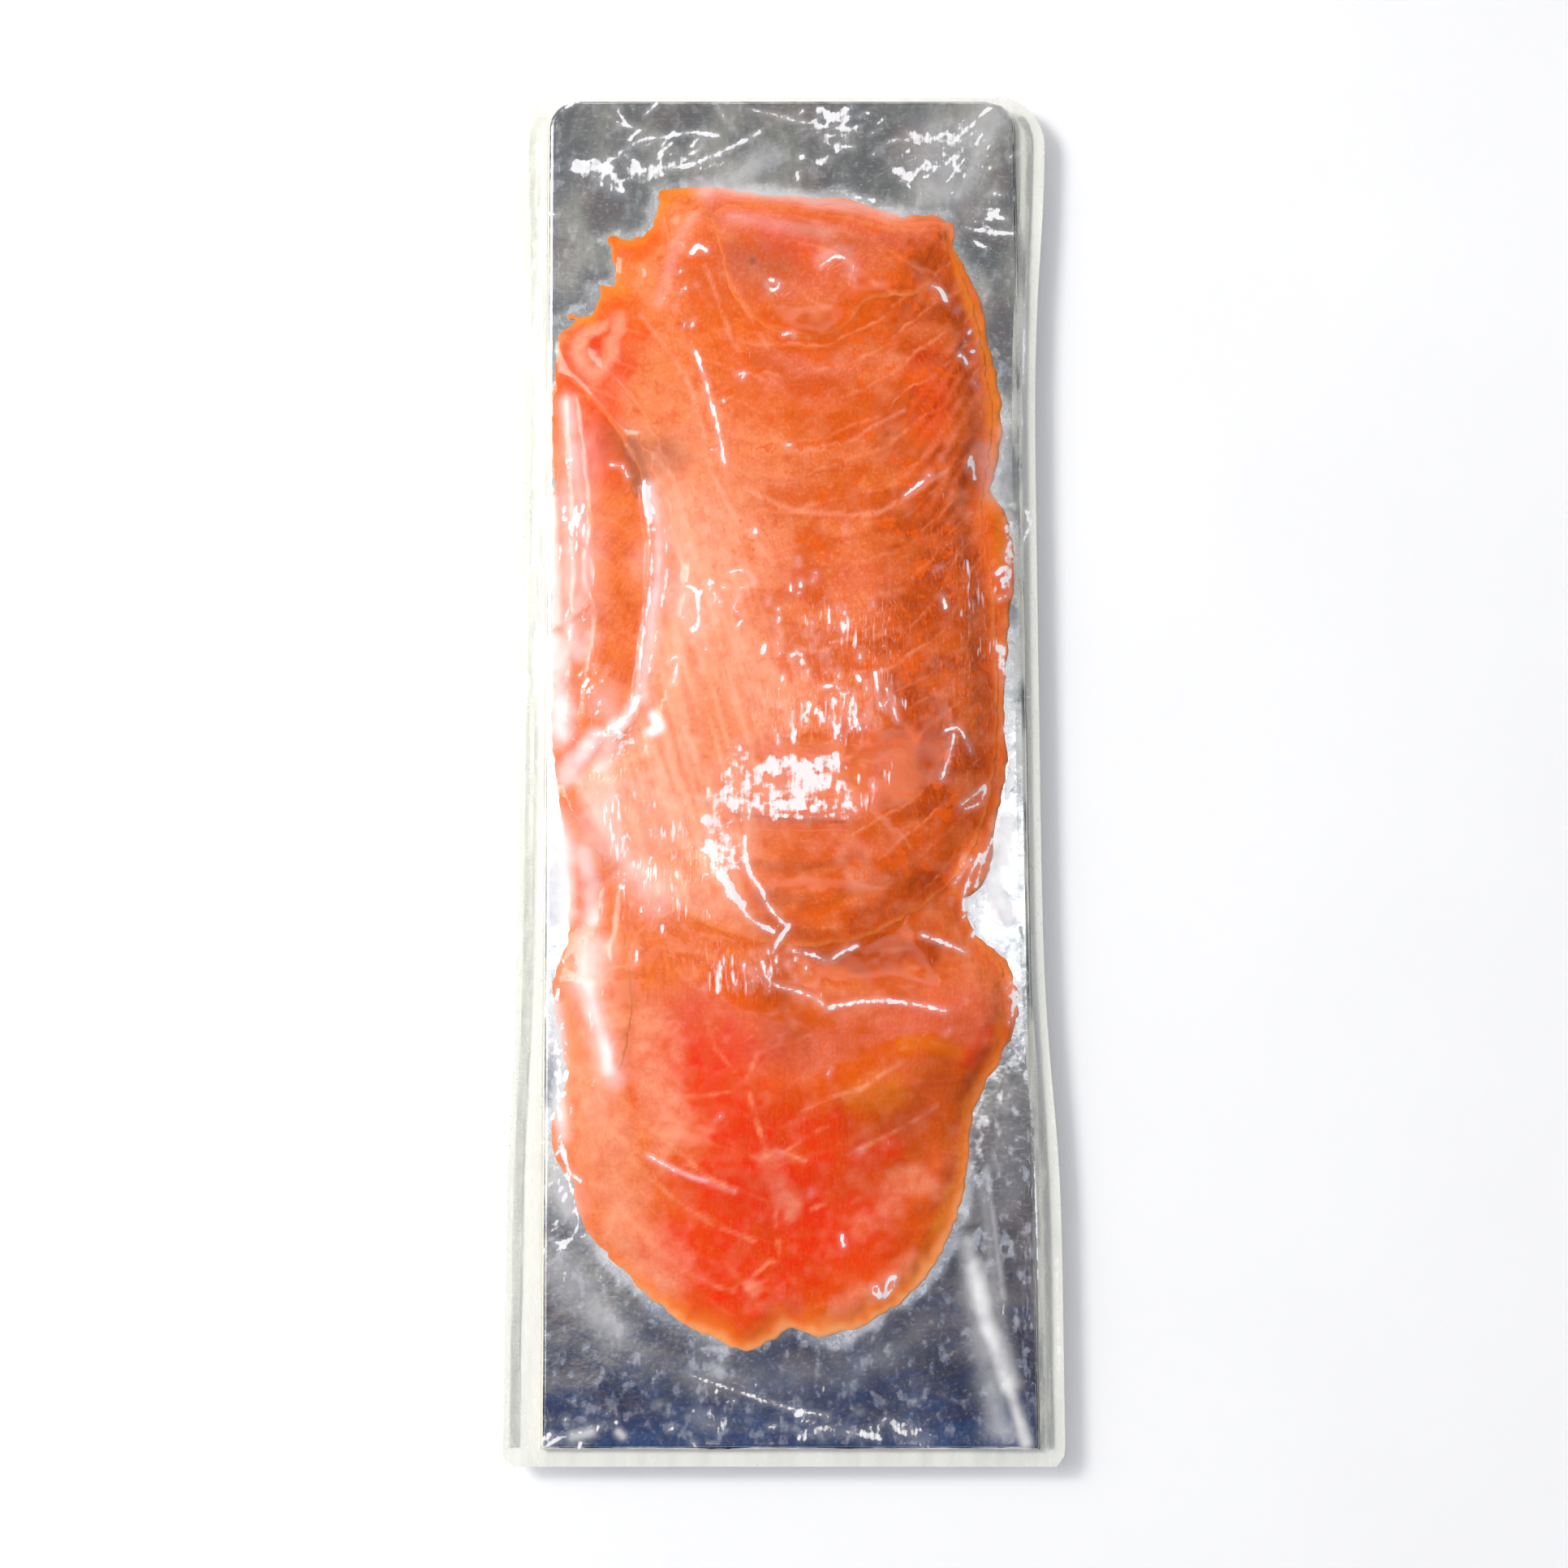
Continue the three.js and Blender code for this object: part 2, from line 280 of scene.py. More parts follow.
def silver_material():
    material, tree = new_material("silver_card")
    cloud = mottle(tree, 95, (1, 0.8, 1), detail=10, low=0.36, high=0.64)
    smear = mottle(tree, 420, (1, 0.7, 1), detail=8, low=0.52, high=0.66)
    stain = mottle(tree, 110, (0.8, 1, 1), detail=10, low=0.50, high=0.64)
    brushed = mottle(tree, 900, (1, 0.3, 1), detail=5, low=0.35, high=0.70)
    scratch = mottle(tree, 1500, (0.45, 1, 1), detail=4, low=0.55, high=0.70)
    crumple = mottle(tree, 200, (1, 0.9, 1), detail=6, low=0.2, high=0.8)
    dots = mottle(tree, 1300, detail=2, low=0.60, high=0.66)
    fog = kept(tree, "fog")
    spots = times(tree, dots, sums(tree, "MULTIPLY_ADD", fog, 0.9, 0.12), clamp=True)
    colour = blend_colour(tree, cloud, paint(156, 160, 168), paint(218, 217, 214))
    colour = paint_over(tree, colour, [
        (times(tree, stain, 0.45), paint(168, 146, 150)),
        (times(tree, smear, 0.22), paint(228, 230, 240)),
        (times(tree, brushed, 0.26), paint(140, 140, 146)),
        (times(tree, scratch, 0.3), paint(240, 240, 244)),
        (fog, paint(240, 242, 244)),
        (spots, paint(250, 250, 250))])
    rough = sums(tree, "MULTIPLY_ADD", smear, 0.12, sums(tree, "MULTIPLY_ADD", fog, 0.4, 0.10))
    metal = sums(tree, "SUBTRACT", 1.0, sums(tree, "MAXIMUM", spots, times(tree, fog, 0.5)))
    bump = put(tree, "ShaderNodeBump", {"Height": crumple, "Strength": 1.0, "Distance": 0.00003})
    return finish_material(material, put(tree, "ShaderNodeBsdfPrincipled", {
        "Base Color": colour, "Metallic": metal, "Roughness": rough, "Normal": bump.outputs[0]}))


def core_material():
    material, tree = new_material("card_core")
    fibre = mottle(tree, 900, (1, 1, 4), detail=2, low=0.3, high=0.7)
    colour = blend_colour(tree, fibre, paint(226, 218, 200), paint(244, 239, 226))
    # painted shade: the core is dark along the right-hand edge
    colour = blend_colour(tree, kept(tree, "painted_core_shade"), colour, paint(96, 94, 92))
    return finish_material(material, put(tree, "ShaderNodeBsdfPrincipled", {
        "Base Color": colour, "Roughness": 0.8}))


def build_card():
    rows = int(CARD_LENGTH / CARD_PITCH) + 1
    columns = int(CARD_WIDTH / CARD_PITCH) + 1
    x, y = sheet_grid(card_bottom, card_bottom + CARD_LENGTH, rows, columns, card_edge)
    top = listed(x, y, CARD_TOP + CARD_WAVE * sample(soft_noise(9, 14, 11), x, y))
    from_middle = x - CARD_SHIFT_X
    flare = np.where(from_middle < 0, FLARE_LEFT, FLARE_RIGHT)
    flare = flare * np.clip((np.abs(from_middle) - FLARE_FROM) / FLARE_REACH, 0, 1)
    under = listed(x + np.sign(from_middle) * flare, y, CARD_UNDER)
    count = rows * columns
    faces = [sheet_faces(rows, columns), sheet_faces(rows, columns, flip=True) + count]
    rim = np.concatenate([
        np.arange(columns), np.arange(1, rows) * columns + columns - 1,
        (rows - 1) * columns + np.arange(columns - 2, -1, -1), np.arange(rows - 2, 0, -1) * columns])
    after = np.roll(rim, -1)
    faces.append(np.stack([rim + count, after + count, after, rim], axis=1))
    is_core = np.concatenate([np.zeros(len(faces[0]) + len(faces[1])), np.ones(len(rim))])
    piece = make_piece("silver_card", np.concatenate([top, under]), np.concatenate(faces),
                       [silver_material(), core_material()], is_core)
    store(piece, "painted_core_shade", np.tile(PAINTED_CORE_SHADE * (x > CARD_SHIFT_X + FLARE_FROM), (2, 1)))
    return piece


card = build_card()

# ------------------------------------------------------------------ the slices of fish
# Cold-smoked salmon cut thin from the side and laid one over another. Each slice thins out to
# its edge, drapes over the one below, and shows the curved muscle flakes with pale fat between.

COVERED_EDGE = 14.0
SHOULDER = 8.0
COVER_START, COVER_END = -2.0, 4.0
FAR = 18.0
CURVE_STEPS = 6
FLESH_FOLD_SHARE = 0.55
CARD_TO_FLESH = 0.08
LAYER_GAP = 0.04

# From the card up: name, thickness, mesh pitch, width of the thin edge, outline
SLICES = [
    ("slice_tail_hidden", 2.2, 1.1, 5.0, [
        (-47.8, -48), (-45.4, -41), (-37, -26), (-18, -17), (5.7, -14), (24, -17), (34, -27),
        (40, -37.4), (46, -43), (48.4, -52), (46, -60), (40.6, -66), (33, -76), (22, -90), (2, -98),
        (-22, -96), (-42, -89), (-47.6, -81), (-47.4, -74), (-44.8, -67), (-45.8, -59)]),
    ("slice_head_hidden", 2.2, 1.1, 5.0, [
        (-48.4, 5), (-48.7, 40), (-48.8, 75), (-48.2, 88), (-45, 94.2), (-39.4, 97), (-36.2, 103),
        (-36.4, 109), (-33.7, 112), (-28.3, 114.5), (-26.8, 120.7), (-22.8, 124), (-15, 124.2),
        (-1, 122), (12.9, 121.6), (25, 117.8), (34.6, 117.2), (37.2, 109), (41, 101.7), (44.2, 87.5),
        (46.4, 73), (45, 62), (44, 57), (46.9, 52.4), (48.7, 41.6), (47.6, 29), (46.3, 14), (46.5, -3),
        (44.2, -14), (41, -27), (34, -30), (18, -27), (0, -26), (-18, -26), (-32, -29), (-43, -25),
        (-46.4, -12)]),
    ("slice_lower", 2.6, 0.6, 6.5, [
        (-36, -22), (-18, -14), (5.7, -11), (25, -14), (35, -25), (39.8, -37), (45.4, -44.8),
        (47.3, -54), (44.7, -62.2), (40.8, -69.6), (38.3, -77), (37.6, -86), (35.4, -95),
        (32.2, -101.5), (29, -107), (23.4, -112.5), (15.4, -117), (6.4, -119), (1.2, -117),
        (-2.3, -119.7), (-7.9, -121.8), (-14.1, -119.3), (-21, -116.2), (-27.3, -111), (-33.5, -105),
        (-39, -99.5), (-42.2, -93), (-43.8, -85), (-45.3, -75), (-44.2, -64), (-43.6, -50),
        (-42.6, -36)]),
    ("slice_side_flap", 0.8, 0.6, 4.0, [
        (-44.6, -15), (-39, -20), (-34, -33), (-31.8, -46), (-31.6, -58), (-34.6, -66), (-39.4, -66),
        (-43.8, -59), (-45.8, -48), (-44.6, -34)]),
    ("slice_left_strip", 1.3, 0.6, 4.4, [
        (-48.6, 82), (-44.6, 86), (-39, 78), (-32, 66), (-26, 54), (-23, 40), (-24, 22), (-28, 6),
        (-36, -3), (-44.5, -6), (-47.8, 0), (-48.3, 20), (-48.6, 50)]),
    ("slice_main", 2.8, 0.56, 8.0, [
        (-48.3, 87.7), (-47.7, 92), (-44.6, 94), (-47, 96), (-42.6, 95.3), (-40.7, 97.3), (-39.4, 100),
        (-40.4, 101.5), (-36.1, 102.8), (-35.4, 105.6), (-37, 107.7), (-36.6, 109), (-37.8, 112.6),
        (-30.6, 112.4), (-27.9, 114.6), (-28.2, 116.8), (-26.6, 120), (-27.2, 121.6), (-26.6, 123.4),
        (-19.6, 123.6), (-10, 121.8), (-1, 120.4), (12.8, 119.6), (24.9, 116.4), (33.6, 116.6),
        (36.2, 116.2), (36.4, 109.8), (39.8, 100.4), (42.8, 86.8), (44.4, 72.6), (43, 60.3),
        (41.9, 49.8), (44.3, 36), (44.9, 22), (44.9, 6.6), (43.6, -5.3), (40.6, -17), (34, -27),
        (24, -34.8), (14, -38.8), (2.3, -39.8), (-11, -37.4), (-19.4, -33.6), (-29.4, -27.6),
        (-36.4, -19.6), (-40.8, -12), (-44, -5), (-38.4, 0.6), (-32.4, 5), (-29.7, 13.5), (-27.4, 27),
        (-25.2, 38), (-26.2, 48), (-29, 57), (-33.6, 66.4), (-39.6, 75), (-45.2, 81)]),
    ("slice_folded_top", 0.7, 0.6, 10, [
        (-14.8, 118.2), (-7.9, 120.4), (5.9, 118.8), (16.2, 117), (25, 115), (34, 114.4), (35, 107),
        (28, 99), (18.7, 97.4), (12.7, 91.6), (4.1, 89.3), (-4.5, 91.8), (-10.5, 98.6), (-14, 109.3)]),
]
MAIN = [name for name, *_ in SLICES].index("slice_main")

# Large folds shared by fish and film: height, reach to each side, line
FOLDS = [
    (1.5, 2.2, [(-32, 66), (-28.4, 57), (-25.6, 46), (-24.8, 35), (-26.6, 21), (-29.4, 10), (-34, 3)]),
    (0.9, 1.8, [(-46.4, 78), (-44.6, 60), (-44, 40), (-45.6, 18), (-46.2, 0)]),
    (0.9, 3.0, [(-12, 114.6), (-6, 115.8), (3.4, 112.6), (11, 109.4)]),
    (0.7, 2.0, [(-17, -9.8), (-4.4, -13), (14, -13.8)]),
    (0.7, 2.0, [(-16.4, -14), (-13.6, -22.4), (-10.2, -31.4), (-4.8, -38)]),
    (0.3, 2.6, [(-40.4, -48), (-37.2, -55), (-35.6, -65)]),
    (0.6, 2.0, [(9.3, -52.3), (21.8, -51), (33, -53.5)]),
]
# Long soft waves in the fish: height, length across, length along, phase
SWELLS = [(0.28, 62, 88, 0.6), (0.18, 34, 47, 2.1)]
SWELL_CALMED = 0.85

# The main slice falls off gently below its middle, and faster past the crease
TAPER_FROM = 3
TAPER_BOW = 0.03
TAPER_MIDDLE = 14
GENTLE_FALL, GENTLE_REACH = 0.0175, 16
STEEP_FALL, STEEP_REACH = 0.058, 26
MOST_TAPER = 2.0


def smooth_loop(points):
    """Closed centripetal Catmull-Rom curve through the points."""
    p1 = np.array(points, float)
    p0, p2, p3 = np.roll(p1, 1, 0), np.roll(p1, -1, 0), np.roll(p1, -2, 0)
    k0, k1, k2 = (np.sqrt(np.linalg.norm(b - a, axis=1, keepdims=True))
                  for a, b in ((p0, p1), (p1, p2), (p2, p3)))
    leave = k1 * ((p1 - p0) / k0 - (p2 - p0) / (k0 + k1) + (p2 - p1) / k1)
    arrive = k1 * ((p2 - p1) / k1 - (p3 - p1) / (k1 + k2) + (p3 - p2) / k2)
    pieces = []
    for t in np.linspace(0, 1, CURVE_STEPS, endpoint=False):
        pieces.append(p1 + leave * t + (3 * (p2 - p1) - 2 * leave - arrive) * t ** 2
                      + (2 * (p1 - p2) + leave + arrive) * t ** 3)
    return np.stack(pieces, axis=1).reshape(-1, 2)


def line_distance(points, reach):
    """Distance from every field place to a line, out to the reach."""
    distance = np.full(FIELD_X.shape, float(reach))
    for (ax, ay), (bx, by) in zip(points[:-1], points[1:]):
        i0 = max(0, int((min(ax, bx) - reach - field_x[0]) / FIELD_PITCH))
        i1 = int((max(ax, bx) + reach - field_x[0]) / FIELD_PITCH) + 2
        j0 = max(0, int((min(ay, by) - reach - field_y[0]) / FIELD_PITCH))
        j1 = int((max(ay, by) + reach - field_y[0]) / FIELD_PITCH) + 2
        x, y = FIELD_X[j0:j1, i0:i1], FIELD_Y[j0:j1, i0:i1]
        length2 = max((bx - ax) ** 2 + (by - ay) ** 2, 1e-9)
        t = np.clip(((x - ax) * (bx - ax) + (y - ay) * (by - ay)) / length2, 0, 1)
        away = np.hypot(x - ax - t * (bx - ax), y - ay - t * (by - ay))
        distance[j0:j1, i0:i1] = np.minimum(distance[j0:j1, i0:i1], away)
    return distance


def depth_inside(loop):
    """Distance to a closed outline, positive inside it."""
    closed = np.vstack([loop, loop[:1]])
    distance = line_distance(closed, FAR)
    inside = np.zeros(FIELD_X.shape, bool)
    for (ax, ay), (bx, by) in zip(closed[:-1], closed[1:]):
        if ay == by:
            continue
        rows = (ay > field_y) != (by > field_y)
        crossing = ax + (field_y[rows] - ay) * (bx - ax) / (by - ay)
        inside[rows] ^= FIELD_X[rows] < crossing[:, None]
    return np.where(inside, distance, -distance)


def layered_noise(*layers, base=0):
    """Noises added to a base: amount, cell across, cell along, seed."""
    return sum((amount * soft_noise(*cell_and_seed) for amount, *cell_and_seed in layers), base)


def zone(x, y, centre_x, centre_y, reach_x, reach_y, power=4):
    """Full in the middle of a patch and nothing well outside its reach."""
    across, along = np.abs((x - centre_x) / reach_x), np.abs((y - centre_y) / reach_y)
    return np.exp(-across ** power - along ** power)


# Every cut edge is a little ragged, and the head end on the left is torn
torn = zone(FIELD_X, FIELD_Y, -34, 105, 13, 15, power=2)
ragged = layered_noise((0.35, 2.2, 2.2, 21), (0.25, 1.1, 1.1, 22))
ragged += torn * layered_noise((0.7, 2.4, 1.7, 23), (0.6, 1.2, 1.2, 24))
depths = [depth_inside(smooth_loop(outline)) + ragged for *_, outline in SLICES]
fish_depth = np.max(depths, axis=0)
main_depth = depths[MAIN]
on_fish = rise(fish_depth, 0, SHOULDER)

large_folds = np.zeros(FIELD_X.shape)
for height, reach, line in FOLDS:
    large_folds += height * np.exp(-(line_distance(line, 4 * reach) / reach) ** 2)
swell = np.zeros(FIELD_X.shape)
for height, length_x, length_y, phase in SWELLS:
    swell += (height * np.sin(2 * math.pi * FIELD_X / length_x + phase)
              * np.sin(2 * math.pi * FIELD_Y / length_y - phase))
swell *= 1 - SWELL_CALMED * zone(FIELD_X, FIELD_Y, 0, -25, 50, 50)
lie = CARD_TOP + CARD_TO_FLESH + on_fish * (swell + FLESH_FOLD_SHARE * large_folds)

down = TAPER_FROM - FIELD_Y + TAPER_BOW * np.maximum(np.abs(FIELD_X) - TAPER_MIDDLE, 0) ** 2
taper = np.minimum(GENTLE_FALL * np.clip(down, 0, GENTLE_REACH)
                   + STEEP_FALL * np.clip(down - GENTLE_REACH, 0, STEEP_REACH), MOST_TAPER)
layers = []
for i, (name, thickness, _, edge, _) in enumerate(SLICES):
    above = np.max(depths[i + 1:], axis=0) if i + 1 < len(SLICES) else np.full(FIELD_X.shape, -FAR)
    width = edge + (COVERED_EDGE - edge) * rise(above, COVER_START, COVER_END)
    if name == "slice_main":
        thickness = thickness - taper
    layers.append(thickness * rise(depths[i], 0, width))

# Tones of the flesh by place: strength, half width, line along the middle
STROKES = {
    "pale": [
        (0.55, 0.5, [(-30.5, 94.4), (-24.8, 86.8), (-19.9, 78.8), (-17.1, 69.1), (-15.2, 59.8),
         (-12.1, 53.3), (-8.7, 47.9), (-2.2, 40.4)]),
        (0.45, 0.45, [(-16.8, 105.3), (-14, 97.4), (-11.4, 89.6), (-7.9, 83.2), (-4.8, 80)]),
        (0.4, 0.4, [(-12.8, 103.9), (-8.8, 97.1), (-4.8, 89.6), (-3.4, 86.8)]),
        (0.45, 0.5, [(0.3, 64.5), (8.2, 65.2), (14.9, 67.1), (18.8, 70), (25.4, 73.3)]),
        (0.45, 0.5, [(-8, 56.4), (1.7, 51.7), (14.8, 50.5), (19.9, 51.2), (27.8, 55.7), (34.3, 60.5)]),
        (0.35, 0.5, [(-27.5, 63.8), (-21.5, 56.8), (-17, 49.8)]),
        (0.6, 8.0, [(-19.8, 49.8), (-14.6, 35.9), (-19.6, 18.6)]),
        (0.45, 6.0, [(-29.6, 1.5), (-32.9, -8.7), (-38, -5.3)]),
        (0.35, 8.0, [(-22.9, -5.3), (-19.4, -18.8), (-16.1, -27.3)]),
        (0.65, 8.0, [(-11.2, 22.1), (-1, 11.8)]), (0.5, 8.0, [(-37.7, -42.3), (-39.2, -54)]),
        (0.6, 8.0, [(-41.9, -42.2), (-40.6, -60.5), (-37.4, -78.7), (-33.2, -95), (-27.3, -106.4)]),
        (0.6, 6.0, [(-29.3, -57.2), (-25.9, -67.1), (-22.5, -77)]),
        (0.35, 2.6, [(-24.3, -55.6), (-21.8, -62.2), (-23.9, -70.4)]),
        (0.5, 1.2, [(-31.5, -95), (-29, -101.5), (-26.5, -104.8), (-22.4, -108)]),
        (0.3, 3.6, [(23.8, -88.2), (27.1, -87.9), (30.4, -88.8)]),
        (0.35, 2.6, [(15.8, -97), (19.6, -95), (22.9, -93.1)]),
        (0.4, 3.0, [(10.5, -114.5), (20.4, -109.7), (27, -104.8)]),
        (0.25, 2.2, [(-3.3, -83.6), (-1.5, -87.7), (1, -93.4)]),
        (0.5, 1.6, [(0.3, -91), (2.3, -92.6), (1.5, -95)]),
        (0.4, 1.6, [(-6.7, -108.5), (-5.6, -109.7)]),
        (0.64, 1.8, [(-34.9, 94.7), (-35.4, 90.6), (-36.4, 86.9), (-38.2, 83.7), (-40.6, 81.7),
         (-42.6, 83.8), (-43.8, 87), (-43.1, 90.1), (-41.1, 91.9), (-38.7, 92.6)]),
        (0.6, 1.5, [(-38.2, 84), (-40.3, 80.8), (-41.7, 82.6)]),
        (0.35, 1.2, [(34.5, 116.3), (36.8, 113.2), (37.1, 110.5)]),
        (0.3, 4.0, [(5.7, -50.4), (10.6, -51.7), (15.6, -52.3)]),
        (0.3, 4.0, [(14.1, -22.3), (15.7, -27.3)]),
    ],
    "amber": [
        (0.8, 2.4, [(26.8, 80), (30, 74.7), (27.9, 66.6), (27.2, 62.6)]),
        (0.35, 5.0, [(-6.2, 74.4), (5.8, 70.8), (21.3, 74.4)]),
        (0.8, 2.2, [(24.8, 28.6), (29.2, 27.2)]), (0.8, 2.6, [(25.1, 22.1), (29.8, 20)]),
        (0.7, 1.3, [(27.4, 14.2), (29.4, 13.1)]), (0.7, 1.1, [(6.6, 16.6), (10.5, 15.5)]),
        (0.8, 0.6, [(22.9, 1.2), (24.6, 4.6), (27.6, 4.6), (28.1, 2.5)]),
        (0.7, 0.8, [(0.5, -19.2), (2.9, -16.1), (2, -19.9)]), (0.6, 0.8, [(-2.4, 23.8), (-1.4, 20)]),
        (0.5, 4.0, [(-10.2, -13.8), (-11.9, -22.2), (-8.5, -28.9)]),
        (0.8, 1.6, [(0, -26.4), (10, -26.6), (22, -22.4), (34, -13.6)]),
        (0.8, 1.8, [(2, -33.6), (14, -33.2), (26, -28.6), (35, -20.6)]),
        (0.95, 3.0, [(-14.4, -46.4), (-6.8, -50.6), (1.5, -53.1), (7.3, -52.2)]),
        (0.9, 2.4, [(-0.7, -74.1), (4.5, -71.3), (13, -65.8), (19.3, -62.5), (26.5, -59.9),
         (31.9, -60.4)]),
        (0.85, 4.0, [(-17.4, -117.7), (-10.8, -120.1), (-1, -119.3), (8.9, -116.1)]),
        (0.4, 5.0, [(-1, -106.4), (8.9, -109.7), (17.1, -106.4)]),
        (0.95, 3.6, [(-5.4, 92.9), (1.6, 89.9), (7.6, 88.1), (13.6, 92.6), (18, 98.8)]),
        (0.8, 4.0, [(30.1, 106.9), (27.5, 101.5), (21.4, 96.1), (16.2, 93.5)]),
        (0.45, 7.0, [(-16.6, 103.3), (-14.8, 92.6), (-10.5, 81.9)]),
        (0.5, 5.0, [(-8.8, 76.6), (-2.7, 73), (5.8, 72.1)]),
        (0.7, 3.0, [(-34.8, 110.5), (-31.4, 109.6), (-28.8, 112.3)]),
        (0.6, 3.4, [(-37.3, 97.6), (-33.9, 96.1), (-31.2, 92.6)]),
        (0.8, 4.0, [(42.6, 57.2), (44.8, 50.2), (44.3, 41.4), (42.4, 36.2)]),
        (0.5, 10.0, [(22.2, -85.2), (25.4, -95), (20.4, -106.4)]),
    ],
    "tan": [
        (0.6, 1.2, [(-7.9, -22.7), (0.5, -24.2), (8.2, -23.4), (15.7, -21.4)]),
        (0.6, 2.0, [(-4.7, -29.8), (4.8, -31), (14.5, -28.4), (24.1, -25.9), (33.2, -19.5),
         (39, -11.7)]),
        (0.7, 2.2, [(-2.7, -35.5), (7.3, -38.7), (18.4, -37.3), (27.4, -32.6), (32.5, -27.3)]),
        (0.8, 3.0, [(40.5, 22.9), (42.5, 10.1), (42.7, -5.3), (40.1, -13.8)]),
        (0.5, 5.0, [(38.4, 77.9), (40, 63.8), (36.5, 49.8)]),
        (0.5, 6.0, [(27.9, 46.3), (32.9, 29), (34.5, 11.8), (30.9, -5.3)]),
        (0.9, 0.45, [(-24.5, -9), (-16.8, -10), (-9.4, -12.6), (2, -13.8), (12.4, -14.2)]),
        (0.8, 3.0, [(5.7, -40.2), (14.9, -43), (23.2, -42.2)]),
        (0.75, 2.4, [(11.6, -72.8), (20.6, -70.8), (28.4, -68.8), (36.9, -65.5), (43.1, -60.9)]),
        (0.6, 2.0, [(8.9, -77.9), (15.6, -76.2), (22.2, -74.1), (28, -72.4)]),
        (0.55, 2.4, [(21.6, -102.4), (25.7, -96.5), (29.9, -92.4), (32.9, -86.9)]),
        (0.68, 11.0, [(15.6, -78.7), (25.5, -75.4), (35.5, -67.1)]),
        (0.4, 3.0, [(4, -87.7), (7.3, -85.2), (9.8, -82)]),
        (0.2, 14.0, [(-10, 106), (8, 104), (26, 104)]),
        (0.35, 6.0, [(5.9, 92.6), (16.2, 89), (26.5, 85.4)]),
        (0.5, 1.2, [(-39.9, 90.4), (-41, 87.6), (-39.6, 85.4)]),
        (0.75, 4.5, [(15.7, -35.5), (22.4, -33.5), (29.2, -29.6)]),
        (0.5, 12.0, [(-0.2, -78.7), (-1, -91.8), (-1, -104.7)]),
        (0.55, 7.0, [(-1.8, -37.4), (-0.7, -45.7), (-0.2, -60.6)]),
        (0.85, 4.0, [(15.7, -39), (20.7, -40), (29, -41)]), (0.45, 9.0, [(15, -88), (22, -98)]),
        (0.6, 4.0, [(22, -30.5), (28, -36)]),
    ],
    "pink": [
        (0.7, 5.0, [(-7, 83.2), (0.7, 81.1), (9.3, 77.9)]),
        (0.5, 3.0, [(12.5, 4.9), (20.9, 0.7), (19.2, -8.7), (7.4, -18.8)]),
        (0.6, 2.2, [(-7.8, 2.4), (0.7, -1), (9.1, -0.2)]),
        (0.6, 1.2, [(-2.7, -26.6), (7.4, -26.9), (19.1, -23.9), (27.5, -20.5), (35.9, -12.1)]),
        (0.4, 6.0, [(-2.7, 41.1), (7.5, 35.9), (16, 39.4)]),
        (0.95, 8.0, [(-19.3, -53.9), (-6, -58), (5.7, -60.5), (19, -57.2), (30.7, -54.7), (39, -54.7)]),
        (0.5, 5.0, [(20.7, -48.1), (30.7, -48.9), (39, -48.1)]),
        (0.85, 1.4, [(12.9, -81.6), (17.9, -79.5), (21.7, -77.7), (25.9, -75.4), (30.5, -72.8)]),
        (0.6, 3.0, [(15.6, -80.7), (19.7, -80), (23.8, -78.4)]),
        (0.6, 5.0, [(18.8, -93.4), (23.8, -90.1), (30.4, -87.7)]),
        (0.5, 4.2, [(-3.5, -83.3), (-1.8, -87.2), (0.3, -91.8), (1.5, -95)]),
        (0.4, 3.0, [(-2.6, -106.4), (1.5, -109.7), (0.7, -114.5)]),
        (0.85, 7.0, [(-11.5, 115.9), (-1, 113.2), (11.1, 112.3), (23.2, 113.2), (30.2, 115)]),
        (0.8, 5.0, [(-1, 101.5), (5.9, 100.6), (11.9, 104.2)]),
        (0.6, 5.0, [(-6.2, 83.7), (2.4, 82.8), (11, 81.9)]),
        (0.7, 2.4, [(-35.1, 94), (-35.9, 88.1), (-38.1, 83.7), (-40.6, 81.9), (-43.1, 84.5),
         (-44, 87.6), (-43, 90.4)]),
        (0.75, 7.0, [(-10.6, 106.5), (-1, 110.5), (9.4, 108.7), (16.3, 105.1)]),
        (0.6, 5.0, [(19.8, 116.8), (26.7, 112.3), (30.1, 105.1)]),
        (0.6, 5.0, [(7.4, -19.5), (14.1, -21.2), (21.7, -20)]),
    ],
    "red": [
        (0.5, 6.0, [(-38.8, 77.9), (-39.5, 63.8)]),
        (0.78, 14.0, [(-15.9, -65.5), (-8.4, -78.7), (-10.9, -91.8), (-9.2, -104.8)]),
        (0.78, 13.0, [(-12.5, -107.2), (-1, -103.2), (12.2, -98.3)]),
        (0.8, 9.0, [(-21.6, -101.5), (-15, -106.4), (-10, -109.7)]),
        (0.75, 9.0, [(-2.6, -101.5), (3.1, -95), (11.4, -99.9)]),
        (0.55, 6.0, [(-10.1, -62.2), (-11.8, -68.8), (-10.9, -77)]),
        (0.55, 3.0, [(13.9, -84.6), (18, -83.3), (21.3, -81.1)]),
        (0.4, 2.4, [(38.1, -62.2), (40.6, -59.7), (43.1, -58)]),
        (0.35, 5.0, [(-4.5, 113.2), (0.7, 110.5), (3.3, 106.9)]),
        (0.3, 5.0, [(29.1, 83.7), (31.6, 76.6), (30.7, 71.3)]),
        (0.45, 5.0, [(-42.5, 93.5), (-38.2, 92.6), (-34.7, 89)]),
        (0.5, 4.0, [(-45.8, 85.4), (-44.9, 80.1), (-35.5, 82.8)]),
        (0.7, 1.5, [(-40, 89.2), (-39.6, 86.1)]),
        (0.74, 12.0, [(5.6, -82), (3.1, -95), (-2.6, -109.6)]),
    ],
    # painted shade in the hollow at the end of the left strip and under the folded top
    "shade": [
        (0.6, 2.2, [(-32.7, 66.4), (-31.1, 62), (-30, 57.1)]),
        (0.3, 5.0, [(-35.3, 67.3), (-28.4, 63.8), (-25, 63.8)]),
